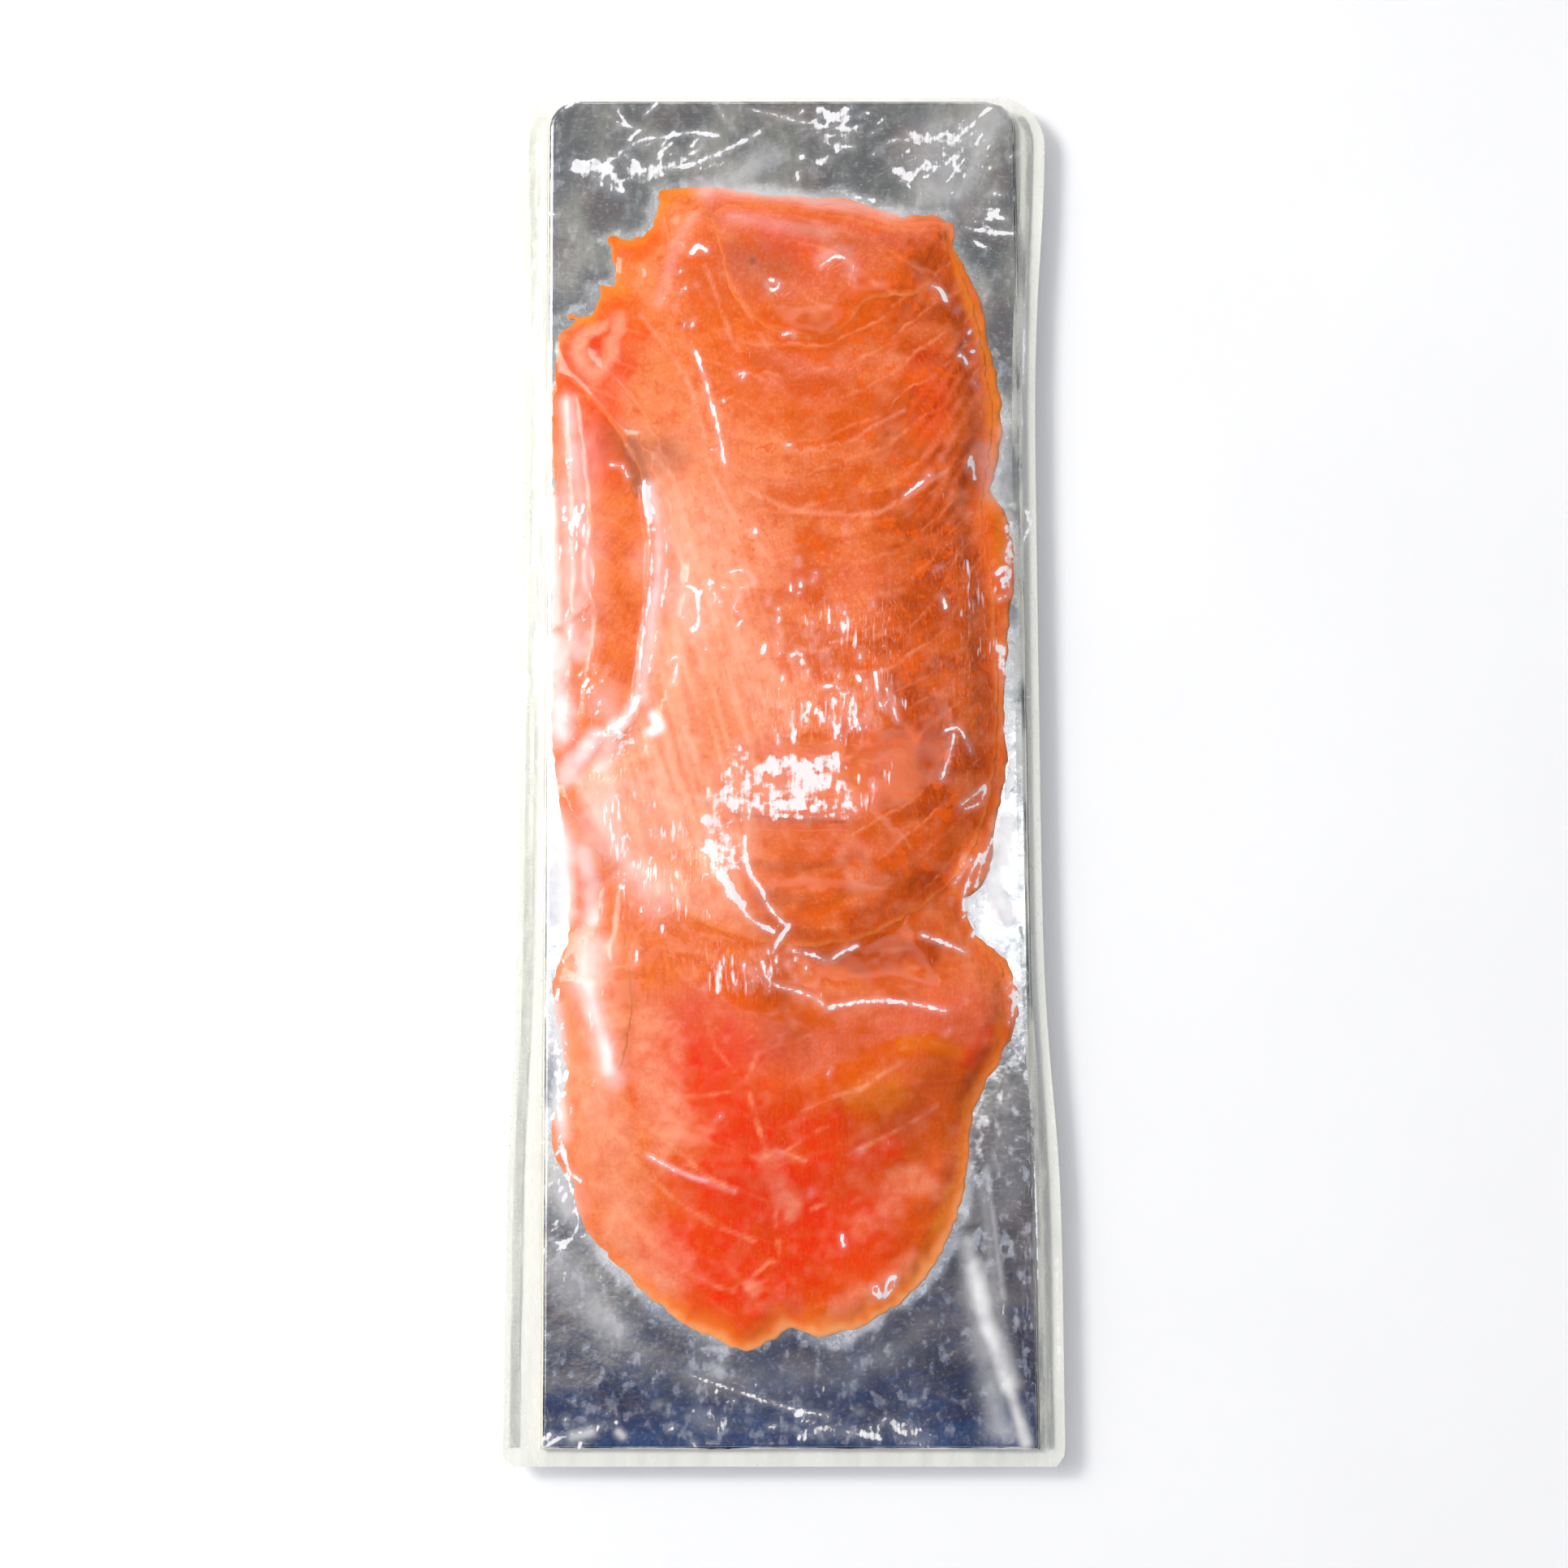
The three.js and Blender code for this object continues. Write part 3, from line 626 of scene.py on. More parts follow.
        (0.26, 6.0, [(-7.1, 106.9), (-1.9, 105.1)]),
    ],
    "vein": [
        (0.75, 0.41, [(-33.2, -71.3), (-27.5, -76.7), (-21.7, -81.6), (-15.9, -86.6), (-10.1, -89.8)]),
        (0.6, 0.38, [(-41.2, -68.8), (-34.1, -78.7), (-27.4, -86.9), (-20.8, -92.6), (-14.2, -96.7),
         (-5.9, -99.9)]),
        (0.68, 0.41, [(-38.2, -83.6), (-33.2, -93.4), (-27.3, -99.9), (-20.7, -105.6), (-14.1, -108.8),
         (-9.2, -110), (-3.5, -107.7)]),
        (0.83, 0.38, [(-10.8, -109.7), (-6.7, -107.2), (-2.6, -103.7), (-0.2, -105.1), (2.3, -108)]),
        (0.75, 0.48, [(4, -73.7), (7.6, -71.6), (11.6, -70.1), (15.8, -69.1), (19.3, -66.7),
         (22.6, -64.5), (25.3, -63.3)]),
        (0.6, 0.36, [(-0.2, -82), (3.1, -80), (7.3, -77.4), (9.3, -76.7)]),
        (0.68, 0.38, [(13.2, -82.3), (17.9, -80), (22.2, -78), (26.4, -75.7), (31.3, -72.4)]),
        (0.6, 0.36, [(5.6, -93.4), (8.9, -92.1), (12.2, -92.8), (15.5, -91.5)]),
        (0.83, 0.48, [(-5.2, -60.5), (-7.5, -67.1), (-6.6, -72.4), (-4.6, -78.7), (-3.3, -82.8)]),
        (0.75, 0.41, [(-0.7, -104.8), (-1.3, -99.9), (-1.8, -95), (-1, -91.8)]),
        (0.83, 0.41, [(-4.3, -82.9), (-1.8, -81.6), (1.5, -82.6), (4.3, -83.6)]),
        (0.6, 0.36, [(-24.4, -37.2), (-21.4, -45.6), (-17.3, -48.9)]),
        (0.52, 0.36, [(-27.6, -67.1), (-22.6, -70.4), (-17.3, -70.8), (-11, -69.6)]),
        (0.52, 0.36, [(-22.5, -75.4), (-15.9, -77.4), (-10.1, -80.3), (-6, -82.8)]),
        (0.45, 0.36, [(-16, -53.9), (-14.3, -60.5), (-10.1, -65.5)]),
    ],
    "gold": [
        (0.34, 3.4, [(15.6, -70.8), (19.3, -70.1), (23.1, -69.6)]),
        (0.34, 1.8, [(24.8, -60.2), (29, -59.5), (31.4, -60.5)]),
        (0.3, 1.8, [(32.3, -60.5), (35.6, -61.5)]),
        (0.7, 1.8, [(34.3, -90.1), (33.3, -93.4), (32, -96.3)]),
        (0.45, 1.4, [(44.8, -53.9), (44.2, -60.5), (41.4, -67.1), (38.1, -72.4), (37.1, -80.3),
         (36.4, -86.9)]),
        (0.4, 2.0, [(28.6, -104.8), (25.3, -109.7), (18.7, -115.3)]),
        (0.8, 1.7, [(-45.6, 95.6), (-41.6, 95.2), (-39.9, 99), (-37.2, 101.7), (-35.3, 101.2)]),
        (0.6, 1.2, [(-37.8, 111.6), (-35, 111.9), (-30.5, 111.8)]),
        (0.7, 1.6, [(-27.1, 117.3), (-26.8, 121.3), (-24.3, 123), (-18.4, 123.3)]),
        (0.5, 1.4, [(-27.8, 115), (-28.3, 116.8)]),
        (0.55, 1.3, [(37.1, 112.3), (37.2, 105.1), (39.8, 97.6), (42.1, 90.8), (44.1, 83.7),
         (45.4, 74.8), (45.8, 64.2)]),
        (0.5, 2.0, [(44.6, 80.1), (45.3, 71.3), (45.7, 60.7)]),
        (0.5, 2.2, [(43.8, 55.1), (46.5, 50.2), (46, 41.4)]),
    ],
}
FLESH_PAINTS = {
    "pink": (234, 114, 82), "amber": (234, 102, 0), "tan": (186, 70, 0), "red": (240, 48, 0),
    "pale": (253, 176, 142), "gold": (240, 144, 24), "vein": (250, 178, 132), "shade": (140, 84, 72),
}
# Veins of fat and the painted shade of hollows have clean borders, all other tones are patchy
CLEAN_TONES = ("vein", "shade")
PATCHY_TONES = [tone for tone in FLESH_PAINTS if tone not in CLEAN_TONES]
STROKE_REACH = 2.4
STROKE_END = 1.5
BROAD_STROKE = 4
BROAD_FROM, FINE_FROM = 0.1, 0.35
MOST_PATCHY, PATCH_REACH = 0.45, 2.6
VEIN_FULLNESS = 0.75
PINK_CLOUDS = 0.3

# Painted shade in a small hollow of the folded top
HOLLOW_SHADE_X, HOLLOW_SHADE_Y = -6.6, 106
HOLLOW_SHADE_FLAT = 0.7
HOLLOW_SHADE_CORE, HOLLOW_SHADE_REACH = 0.3, 1.0
HOLLOW_SHADE_STRENGTH = 0.8

# Brown and amber of the main slice: brown painted as shade, strong at its right side and faint from the
# middle on; faint amber all over; brown and amber tone in blots
RIGHT_SHADE, FAINT_RIGHT_SHADE, BROWN_BLOTS = 0.72, 0.18, 0.09
AMBER_ALL, AMBER_BLOTS = 0.08, 0.5

tones = {tone: np.zeros(FIELD_X.shape) for tone in FLESH_PAINTS}
patchy = layered_noise((0.6, 5, 5, 31), (0.45, 2.4, 2.4, 32), (0.3, 1.2, 1.2, 33))
for tone, strokes in STROKES.items():
    for strength, width, line in strokes:
        away = line_distance(line, STROKE_REACH * width) / width
        if tone in PATCHY_TONES:
            away = away + min(MOST_PATCHY, PATCH_REACH / width) * patchy
        soft_from = BROAD_FROM if width > BROAD_STROKE else FINE_FROM
        tones[tone] = np.maximum(tones[tone], strength * (1 - rise(away, soft_from, STROKE_END)))
broken_vein = layered_noise((0.9, 3, 3, 62), (0.5, 1.2, 1.2, 63), base=VEIN_FULLNESS)
tones["vein"] *= np.clip(broken_vein, 0, 1)
# painted shade of the small hollow in the folded top
to_hollow_shade = np.hypot(FIELD_X - HOLLOW_SHADE_X, (FIELD_Y - HOLLOW_SHADE_Y) * HOLLOW_SHADE_FLAT)
hollow_shade = HOLLOW_SHADE_STRENGTH * (1 - rise(to_hollow_shade, HOLLOW_SHADE_CORE, HOLLOW_SHADE_REACH))
tones["shade"] = np.maximum(tones["shade"], hollow_shade)
tones["pink"] = np.clip(tones["pink"] + PINK_CLOUDS * np.maximum(soft_noise(9, 7, 38), 0), 0, 1)
tones["pale"] = np.clip(layered_noise((0.16, 3, 3, 34), (0.12, 1.4, 1.4, 35), base=tones["pale"]), 0, 1)

# Painted shade: the main slice turns browner to the right, away from the light, broken by blots
on_main_slice = rise(main_depth, 0, 3)
waver = soft_noise(9, 9, 37)
shade_to_right = RIGHT_SHADE * rise(FIELD_X + 3 * waver, 8, 34) * on_main_slice
shade_to_right = np.maximum(shade_to_right, FAINT_RIGHT_SHADE * rise(FIELD_X + 5 * waver, -16, 6))
blots = layered_noise((1, 9, 5, 36), (0.5, 3.4, 2.4, 39), (0.25, 1.3, 1.3, 40))
tan_and_shade = np.maximum(tones["tan"], shade_to_right * (0.8 + 0.5 * rise(blots, -0.1, 0.35)))
tones["tan"] = np.clip(tan_and_shade + BROWN_BLOTS * blots, 0, 1)
warm = AMBER_ALL + AMBER_BLOTS * rise(blots, 0.2, 0.6) * rise(FIELD_X, -20, 10)
tones["amber"] = np.clip(tones["amber"] + warm, 0, 1)


def strands(cell_across, cell_along, lean, seed):
    """Noise drawn out lengthwise and leaning over."""
    span = field_x[-1] - field_x[0]
    x = field_x[0] + np.abs(np.mod(FIELD_X + lean * FIELD_Y - field_x[0], 2 * span) - span)
    return sample(soft_noise(cell_across, cell_along, seed), x, FIELD_Y)


# Fine stripes of fat sweep up to the right edge
STRIPE_PITCH = 2.7
STRIPE_PINK, STRIPE_CLEARS_TAN = 0.75, 0.7
climb = 0.8 * FIELD_X - 0.5 * FIELD_Y + 1.6 * soft_noise(9, 9, 46)
sweep_zone = rise(FIELD_X + 0.3 * (FIELD_Y - 80), 12, 26) * rise(FIELD_Y, 20, 60) * rise(main_depth, 0, 2)
sweep_zone *= np.clip(0.7 + 0.6 * soft_noise(8, 8, 47), 0, 1)
sweep = (0.5 + 0.5 * np.cos(2 * math.pi * climb / STRIPE_PITCH)) * sweep_zone
tones["pink"] = np.maximum(tones["pink"], STRIPE_PINK * sweep)
tones["tan"] *= 1 - STRIPE_CLEARS_TAN * sweep

# Pale strands fan out to the left, with pink and amber between them, on a paler ground that is painted
# light falling from the left
STRAND_LEAN = 0.3
FAN_PINK, FAN_AMBER, FAN_CLEARS_PALE = 0.6, 0.6, 0.3
LEFT_LIGHT = 0.85
fan = on_main_slice * zone(FIELD_X, FIELD_Y, -22, 4, 19, 44)
long_strands = strands(0.9, 13, STRAND_LEAN, 48)
strand = np.clip(1.9 * long_strands + 0.9 * strands(0.6, 8, 0.26, 49), 0, 1)
tones["pink"] = np.maximum(tones["pink"], FAN_PINK * fan * np.clip(-1.2 * long_strands, 0, 1))
# painted light: the flesh turns paler towards the left, below the head end
lit_left_side = LEFT_LIGHT * rise(-FIELD_X + 4 * soft_noise(8, 10, 50), -10, 22)
lit_left_side *= (1 - rise(FIELD_Y, 40, 90)) * rise(main_depth, 0, 1)
pale_and_lit = tones["pale"] + lit_left_side * (0.8 + 0.5 * patchy)
tones["pale"] = np.clip(pale_and_lit * (1 - FAN_CLEARS_PALE * fan), 0, 1)
between_strands = np.clip(-0.2 - strands(1.6, 14, STRAND_LEAN, 48), 0, 1)
tones["amber"] = np.clip(tones["amber"] + FAN_AMBER * fan * between_strands, 0, 1)
wet = np.clip(tones["red"] + tones["amber"] + 1.1 * tones["tan"], 0, 1)

# Spacing of the flakes and of the fibres in them, and how both wander from their lines
FLAKE_SPACING = 7.6
FIBRE_SPACING = 0.8
drift_x = layered_noise((2.6, 17, 17, 41), (0.9, 6, 6, 42))
drift_y = layered_noise((2.6, 17, 17, 43), (0.9, 6, 6, 44))


def flakes_main(x, y):
    """Bowed flakes, nested and climbing towards the right edge."""
    right = np.maximum(x - 2, 0)
    left = np.maximum(-x - 6, 0)
    return -y + 0.0165 * right ** 2 + 0.35 * left, x + 0.25 * y


def flakes_lower(x, y):
    """Flakes in a chevron to both sides of the pale centre line."""
    aside = np.abs(x + 1.8 + 0.02 * (y + 90))
    return -y + 0.42 * aside - 0.0042 * aside ** 2, aside


def flakes_across(x, y):
    """Straight flakes that lean over, for slices that show only at their edges."""
    return 0.92 * y + 0.38 * x, x - 0.4 * y


FLAKES = {"slice_main": flakes_main, "slice_lower": flakes_lower, "slice_tail_hidden": flakes_lower}


def slice_mesh(depth, pitch):
    """Grid places inside an outline, with the outer ones pulled onto it."""
    inside = depth > -FAR + 1
    x0, x1 = FIELD_X[inside].min(), FIELD_X[inside].max()
    y0, y1 = FIELD_Y[inside].min(), FIELD_Y[inside].max()
    x, y = np.meshgrid(np.arange(x0, x1, pitch), np.arange(y0, y1, pitch))
    middle = sample(depth, x[:-1, :-1] + pitch / 2, y[:-1, :-1] + pitch / 2) > 0
    cells = sheet_faces(*x.shape)[middle.ravel()]
    used, cells = np.unique(cells, return_inverse=True)
    cells = cells.reshape(-1, 4)
    x, y = x.ravel()[used], y.ravel()[used]
    sides = np.concatenate([cells[:, [i, (i + 1) % 4]] for i in range(4)])
    keys = sides[:, 0].astype(np.int64) * len(x) + sides[:, 1]
    back = sides[:, 1].astype(np.int64) * len(x) + sides[:, 0]
    rim = sides[~np.isin(keys, back)]
    on_rim = np.unique(rim)
    for _ in range(3):
        d = sample(depth, x[on_rim], y[on_rim])
        gx = sample(depth, x[on_rim] + 0.3, y[on_rim]) - sample(depth, x[on_rim] - 0.3, y[on_rim])
        gy = sample(depth, x[on_rim], y[on_rim] + 0.3) - sample(depth, x[on_rim], y[on_rim] - 0.3)
        length = np.maximum(np.hypot(gx, gy), 0.3)
        reach = np.clip(d, -0.7 * pitch, 0.7 * pitch)
        x[on_rim] -= reach * gx / length
        y[on_rim] -= reach * gy / length
    return x, y, cells, rim


def flesh_material():
    material, tree = new_material("salmon_flesh")
    place = surface_place(tree)
    cloud = cloudy(tree, place, 300.0, 5.0, 0.6)
    blotch = cloudy(tree, place, 190.0, 5.0, 0.62)
    grain = cloudy(tree, place, 1400.0)
    speck = step(tree, cloud, 0.40, 0.64)

    # where in its flake a place lies, and the fibres that run across the flake
    across = sums(tree, "MULTIPLY_ADD", cloud, 0.45, kept(tree, "flake"))
    from_line = sums(tree, "ABSOLUTE", sums(tree, "SUBTRACT", sums(tree, "FRACT", across), 0.5))
    ramp = sums(tree, "FRACT", sums(tree, "ADD", across, 0.5))
    along = put(tree, "ShaderNodeCombineXYZ", {0: across, 1: kept(tree, "fibre")}).outputs[0]
    fibre = cloudy(tree, along, 1.5, 4.0, 0.7)

    bands, threads = kept(tree, "bands"), kept(tree, "threads")
    crumbs = sums(tree, "MAXIMUM", step(tree, fibre, 0.575, 0.605), step(tree, blotch, 0.575, 0.605))
    line = times(tree, step(tree, from_line, 0.0, 0.10, 1.0, 0.0), times(tree, speck, kept(tree, "lines")))
    thin_line = sums(tree, "ABSOLUTE", sums(tree, "SUBTRACT", blotch, 0.5))
    patches = sums(tree, "MULTIPLY_ADD", cloud, 1.8, 0.12)
    colour = blend_colour(tree, speck, paint(230, 98, 4), paint(247, 132, 38))
    colour = paint_over(tree, colour, [
        (times(tree, ramp, bands), paint(246, 144, 80)),
        (times(tree, sums(tree, "SUBTRACT", 1.0, ramp), bands), paint(212, 84, 6)),
        (times(tree, step(tree, blotch, 0.40, 0.60), kept(tree, "haze")), paint(251, 160, 100))])
    colour = paint_over(tree, colour, [
        (times(tree, kept(tree, tone), patches, clamp=True), paint(*FLESH_PAINTS[tone]))
        for tone in PATCHY_TONES])
    colour = paint_over(tree, colour, [
        (times(tree, crumbs, kept(tree, "specks")), paint(234, 100, 8)),
        (step(tree, grain, 0.36, 0.60, 0.08, 0.0), paint(180, 62, 4)),
        (times(tree, step(tree, grain, 0.54, 0.72), threads), paint(252, 176, 124)),
        (line, paint(246, 152, 104)),
        (times(tree, step(tree, thin_line, 0.0, 0.007, 1.0, 0.0), threads), paint(250, 168, 120)),
        (times(tree, step(tree, fibre, 0.45, 0.62), kept(tree, "streaks")), paint(250, 176, 134)),
        (times(tree, kept(tree, "strand"), sums(tree, "MULTIPLY_ADD", cloud, 0.8, 0.3)),
         paint(254, 204, 172)),
        (times(tree, kept(tree, "vein"), sums(tree, "MULTIPLY_ADD", speck, 0.7, 0.3)),
         paint(*FLESH_PAINTS["vein"])),
        # painted shade in the hollows
        (kept(tree, "shade"), paint(*FLESH_PAINTS["shade"])),
        (kept(tree, "rim"), paint(250, 138, 46)),
        (kept(tree, "edge"), paint(252, 190, 130))])

    # light spreads inside the wet flesh, so its shading is softer than its shape
    soft = stretched(tree, put(tree, "ShaderNodeNewGeometry").outputs["Normal"], (0.3, 0.3, 1.0))
    soft = put(tree, "ShaderNodeVectorMath", {0: soft}, operation="NORMALIZE").outputs[0]
    bump = put(tree, "ShaderNodeBump", {
        "Height": cloud, "Strength": 0.25, "Distance": 0.0004, "Normal": soft})
    return finish_material(material, put(tree, "ShaderNodeBsdfPrincipled", {
        "Base Color": colour, "Roughness": 0.5, "Specular IOR Level": 0.05, "Normal": bump.outputs[0]}))


# The lower slice has a lighter, rayed rim round its low end, about this centre
LOW_END_X, LOW_END_Y = -3, -85
RAY_SPREAD = 18
# Strength and width of every rim and of its outermost edge: plain, and more at the low end
RIM_STRENGTH, RIM_WIDTH = (0.35, 0.45), (1.6, 4.6)
EDGE_STRENGTH, EDGE_WIDTH = (0.15, 0.5), (0.9, 1.6)
TORN_RIM = 0.3
# Strength of each grain: everywhere, and more on the main slice
GRAINS = {
    "bands": (0.3, 0.3), "lines": (0.3, 0.48), "specks": (0.28, 0.5), "haze": (0.25, 0.6),
    "threads": (0.5, 0.5), "streaks": (0.18, 0.0), "strand": (0.0, 0.62),
}
rim_rays = soft_noise(0.8, 6, 64)
band_noise = soft_noise(16, 11, 45)


def flesh_marks(name, depth, x, y):
    """What the flesh material reads at each place: flakes, tones, rim and strength of each grain."""
    u, v = FLAKES.get(name, flakes_across)(x + sample(drift_x, x, y), y + sample(drift_y, x, y))
    found = {"flake": u / FLAKE_SPACING, "fibre": v / FIBRE_SPACING}
    for tone, field in tones.items():
        found[tone] = sample(field, x, y)
    low_end = rise(-y + 0.3 * x, 84, 112) * (name == "slice_lower")

    def at_low_end(plain, more):
        return plain + more * low_end

    around = RAY_SPREAD * np.arctan2(y - LOW_END_Y, x - LOW_END_X)
    rays = sample(rim_rays, around, 0.2 * sample(depth, x, y))
    to_rim = sample(depth, x, y) + 0.5 * sample(patchy, x, y)
    rim = 1 - rise(to_rim + 1.6 * low_end * rays, 0, at_low_end(*RIM_WIDTH))
    edge = 1 - rise(to_rim + 0.8 * rays, 0, at_low_end(*EDGE_WIDTH))
    found["rim"] = (at_low_end(*RIM_STRENGTH) + TORN_RIM * sample(torn, x, y)) * rim
    found["edge"] = at_low_end(*EDGE_STRENGTH) * edge
    on_main = rise(sample(main_depth, x, y), 0, 3)
    lower_right = rise(x + 0.25 * (y - 20), -14, 8)
    calm = rise(sample(band_noise, x, y), -0.5, 0.6)
    dull = (1 - 0.9 * sample(wet, x, y)) ** 2
    shares = {
        "bands": (0.25 + 0.75 * calm) * (0.5 + 0.5 * dull), "lines": 0.3 + 0.7 * calm, "haze": dull,
        "threads": 0.09 + 0.31 * dull, "streaks": dull, "strand": sample(fan * strand, x, y),
    }
    for grain, (everywhere, more) in GRAINS.items():
        on_top = on_main * lower_right if grain == "specks" else on_main
        found[grain] = (everywhere + more * on_top) * shares.get(grain, 1)
    return found


flesh = flesh_material()
for i, (name, _, pitch, _, _) in enumerate(SLICES):
    x, y, cells, rim = slice_mesh(depths[i], pitch)
    below = sample(lie + np.sum(layers[:i], axis=0), x, y)
    above = below + LAYER_GAP + sample(layers[i], x, y)
    wall = np.stack([rim[:, 1], rim[:, 0], rim[:, 0] + len(x), rim[:, 1] + len(x)], axis=1)
    fish = make_piece(name, np.concatenate([listed(x, y, above), listed(x, y, below)]),
                      np.concatenate([cells, cells[:, ::-1] + len(x), wall]), [flesh])
    for mark, values in flesh_marks(name, depths[i], x, y).items():
        store(fish, mark, np.tile(values, 2))

# Brine and grease draw a pale fog on the card round the fish: a halo close by, smears further out
HALO_FOG, SMEAR_FOG, SMEAR_CLOUDS, LEAST_SMEAR = 0.3, 0.14, 0.05, 0.06
HALO_FROM, HALO_END = 1.2, 2.6
SMEAR_REACH = 5
off_fish = layered_noise((1.3, 5, 5, 71), (0.7, 2, 2, 72), base=np.maximum(-fish_depth, 0))
halo = (1 - rise(off_fish, HALO_FROM, HALO_END)) * np.clip(0.55 + 0.8 * soft_noise(14, 14, 74), 0, 1)
smear = SMEAR_FOG * np.exp(-np.maximum(off_fish, 0) / SMEAR_REACH)
smear += SMEAR_CLOUDS * soft_noise(9, 12, 73) - LEAST_SMEAR
fog = np.clip(HALO_FOG * halo + smear, 0, 1)
card_places = np.empty(len(card.data.vertices) * 3)
card.data.vertices.foreach_get("co", card_places)
store(card, "fog", sample(fog, card_places[0::3] / MM, card_places[1::3] / MM))

# ------------------------------------------------------------------ the clear film
# Thin shrink film drawn tight over fish and card by the vacuum. It bridges the steps between
# the slices, stands up in folds and creases, and lies flat on the back sheet along the rim.

FILM_CLEARANCE = 0.07
LEAST_GAP = 0.06
TOP_GAP = 0.02
SEAL_THICKNESS = 0.5
FILM_SLOPE = 2.0
FILM_PITCH = 0.4
FILM_PARTS = 3

# The pack narrows to the head end, each long side bows in, and the corners are rounded:
# reach across and along of each corner, by side and end
PACK_TOP_WIDTH = 113.0
WAIST_DEPTH = {-1: 1.3, 1: 3.1}
WAIST_PLACE, WAIST_REACH, WAIST_FULLNESS = 20.0, 93.0, 6
CORNERS = {(-1, 1): (5.6, 9), (1, 1): (7.6, 10), (-1, -1): (2.4, 2.2), (1, -1): (1.8, 3.2)}
CORNER_FULLNESS = 1.6

# Creases on the fish: height, reach, line
CREASES = [
    (0.55, 0.9, [(-29.7, 56.7), (-28.2, 42.7), (-29.4, 25.4), (-30.5, 11.7), (-27.9, -0.3)]),
    (0.45, 1.0, [(-46.5, 8.3), (-41.4, 4.8), (-34.7, 4.0), (-29.7, 8.3)]),
    (0.4, 0.9, [(-43.5, 77.8), (-41.7, 63.7), (-40.5, 49.7), (-41.8, 39.2), (-39.1, 28.9),
     (-41.2, 15.1), (-42.3, 4.8)]),
    (0.3, 0.8, [(-45.3, 47.9), (-42.7, 45.3), (-39.7, 39.2), (-40.9, 32.3), (-45.1, 28.9)]),
    (0.34, 0.5, [(-27.9, -5.4), (-17.0, -9.6), (-11.1, -11.5), (-4.4, -13.0), (4.0, -13.5),
     (14.1, -13.8)]),
    (0.26, 0.6, [(-10.2, -13.8), (-8.5, -18.9), (-7.4, -24.8), (-5.2, -29.0), (-1.0, -33.7)]),
    (0.42, 0.6, [(-2.7, -32.3), (-0.2, -34.9), (-1.8, -37.4), (-2.7, -40.4), (-4.0, -42.0),
     (-4.0, -44.4), (-1.8, -47.9), (4.0, -49.4), (7.8, -51.7)]),
    (0.36, 0.6, [(1.5, -40.7), (5.7, -40.7), (9.0, -42.0), (11.8, -40.7), (14.8, -39.5)]),
    (0.42, 0.7, [(8.3, -47.7), (8.6, -52.3), (15.6, -51.7), (21.8, -51.0), (27.2, -52.0),
     (33.0, -53.5)]),
    (0.36, 0.7, [(28.5, -37.4), (33.2, -39.0), (37.3, -40.4)]),
    (0.36, 0.6, [(-19.1, 88.4), (-16.8, 81.3), (-14.7, 74.2), (-13.0, 67.2)]),
    (0.22, 0.8, [(-24.3, 104.4), (-22.6, 97.3), (-20.0, 91.9)]),
    (0.22, 1.2, [(-41.7, -50.4), (-38.4, -53.2), (-35.8, -60.6), (-34.9, -67.2)]),
    (0.26, 0.7, [(-27.4, -82.8), (-23.2, -84.8), (-19.1, -85.7), (-15.0, -87.7)]),
    (0.24, 0.6, [(3.1, -74.6), (7.3, -73.1), (11.4, -71.8)]),
    (0.26, 0.5, [(17.4, -111.2), (18.3, -113.1), (20.3, -112.5), (21.9, -109.6), (20.6, -108.8),
     (19.5, -111.2)]),
    (0.24, 0.5, [(35.2, 4.0), (36.9, 5.7), (39.4, 4.8), (40.7, 1.4), (37.7, 0.6)]),
    (0.2, 0.5, [(34.4, 4.0), (34.6, -3.7), (33.9, -10.5)]),
    (0.28, 0.5, [(40.0, -17.2), (38.3, -23.1), (35.8, -27.3), (34.4, -33.2)]),
    (0.26, 0.5, [(39.6, -24.8), (37.4, -30.7), (39.8, -37.4)]),
    (0.24, 0.6, [(41.3, -10.5), (38.4, -12.1), (36.4, -12.1), (41.0, -6.2)]),
    (0.16, 0.5, [(-10.5, 80.8), (-8.4, 81.8), (-8.7, 79.5)]),
    (0.16, 0.5, [(-20.9, 109.8), (-18.3, 109.4), (-16.2, 108.0)]),
    (0.18, 0.5, [(-3.6, 100.8), (-1.0, 101.7), (1.6, 100.0), (-1.0, 98.7), (-3.6, 100.8)]),
    (0.18, 0.6, [(9.3, 104.4), (13.6, 106.6), (14.5, 101.7)]),
    (0.2, 0.6, [(30.9, 101.7), (33.4, 99.4), (35.1, 97.3)]),
]
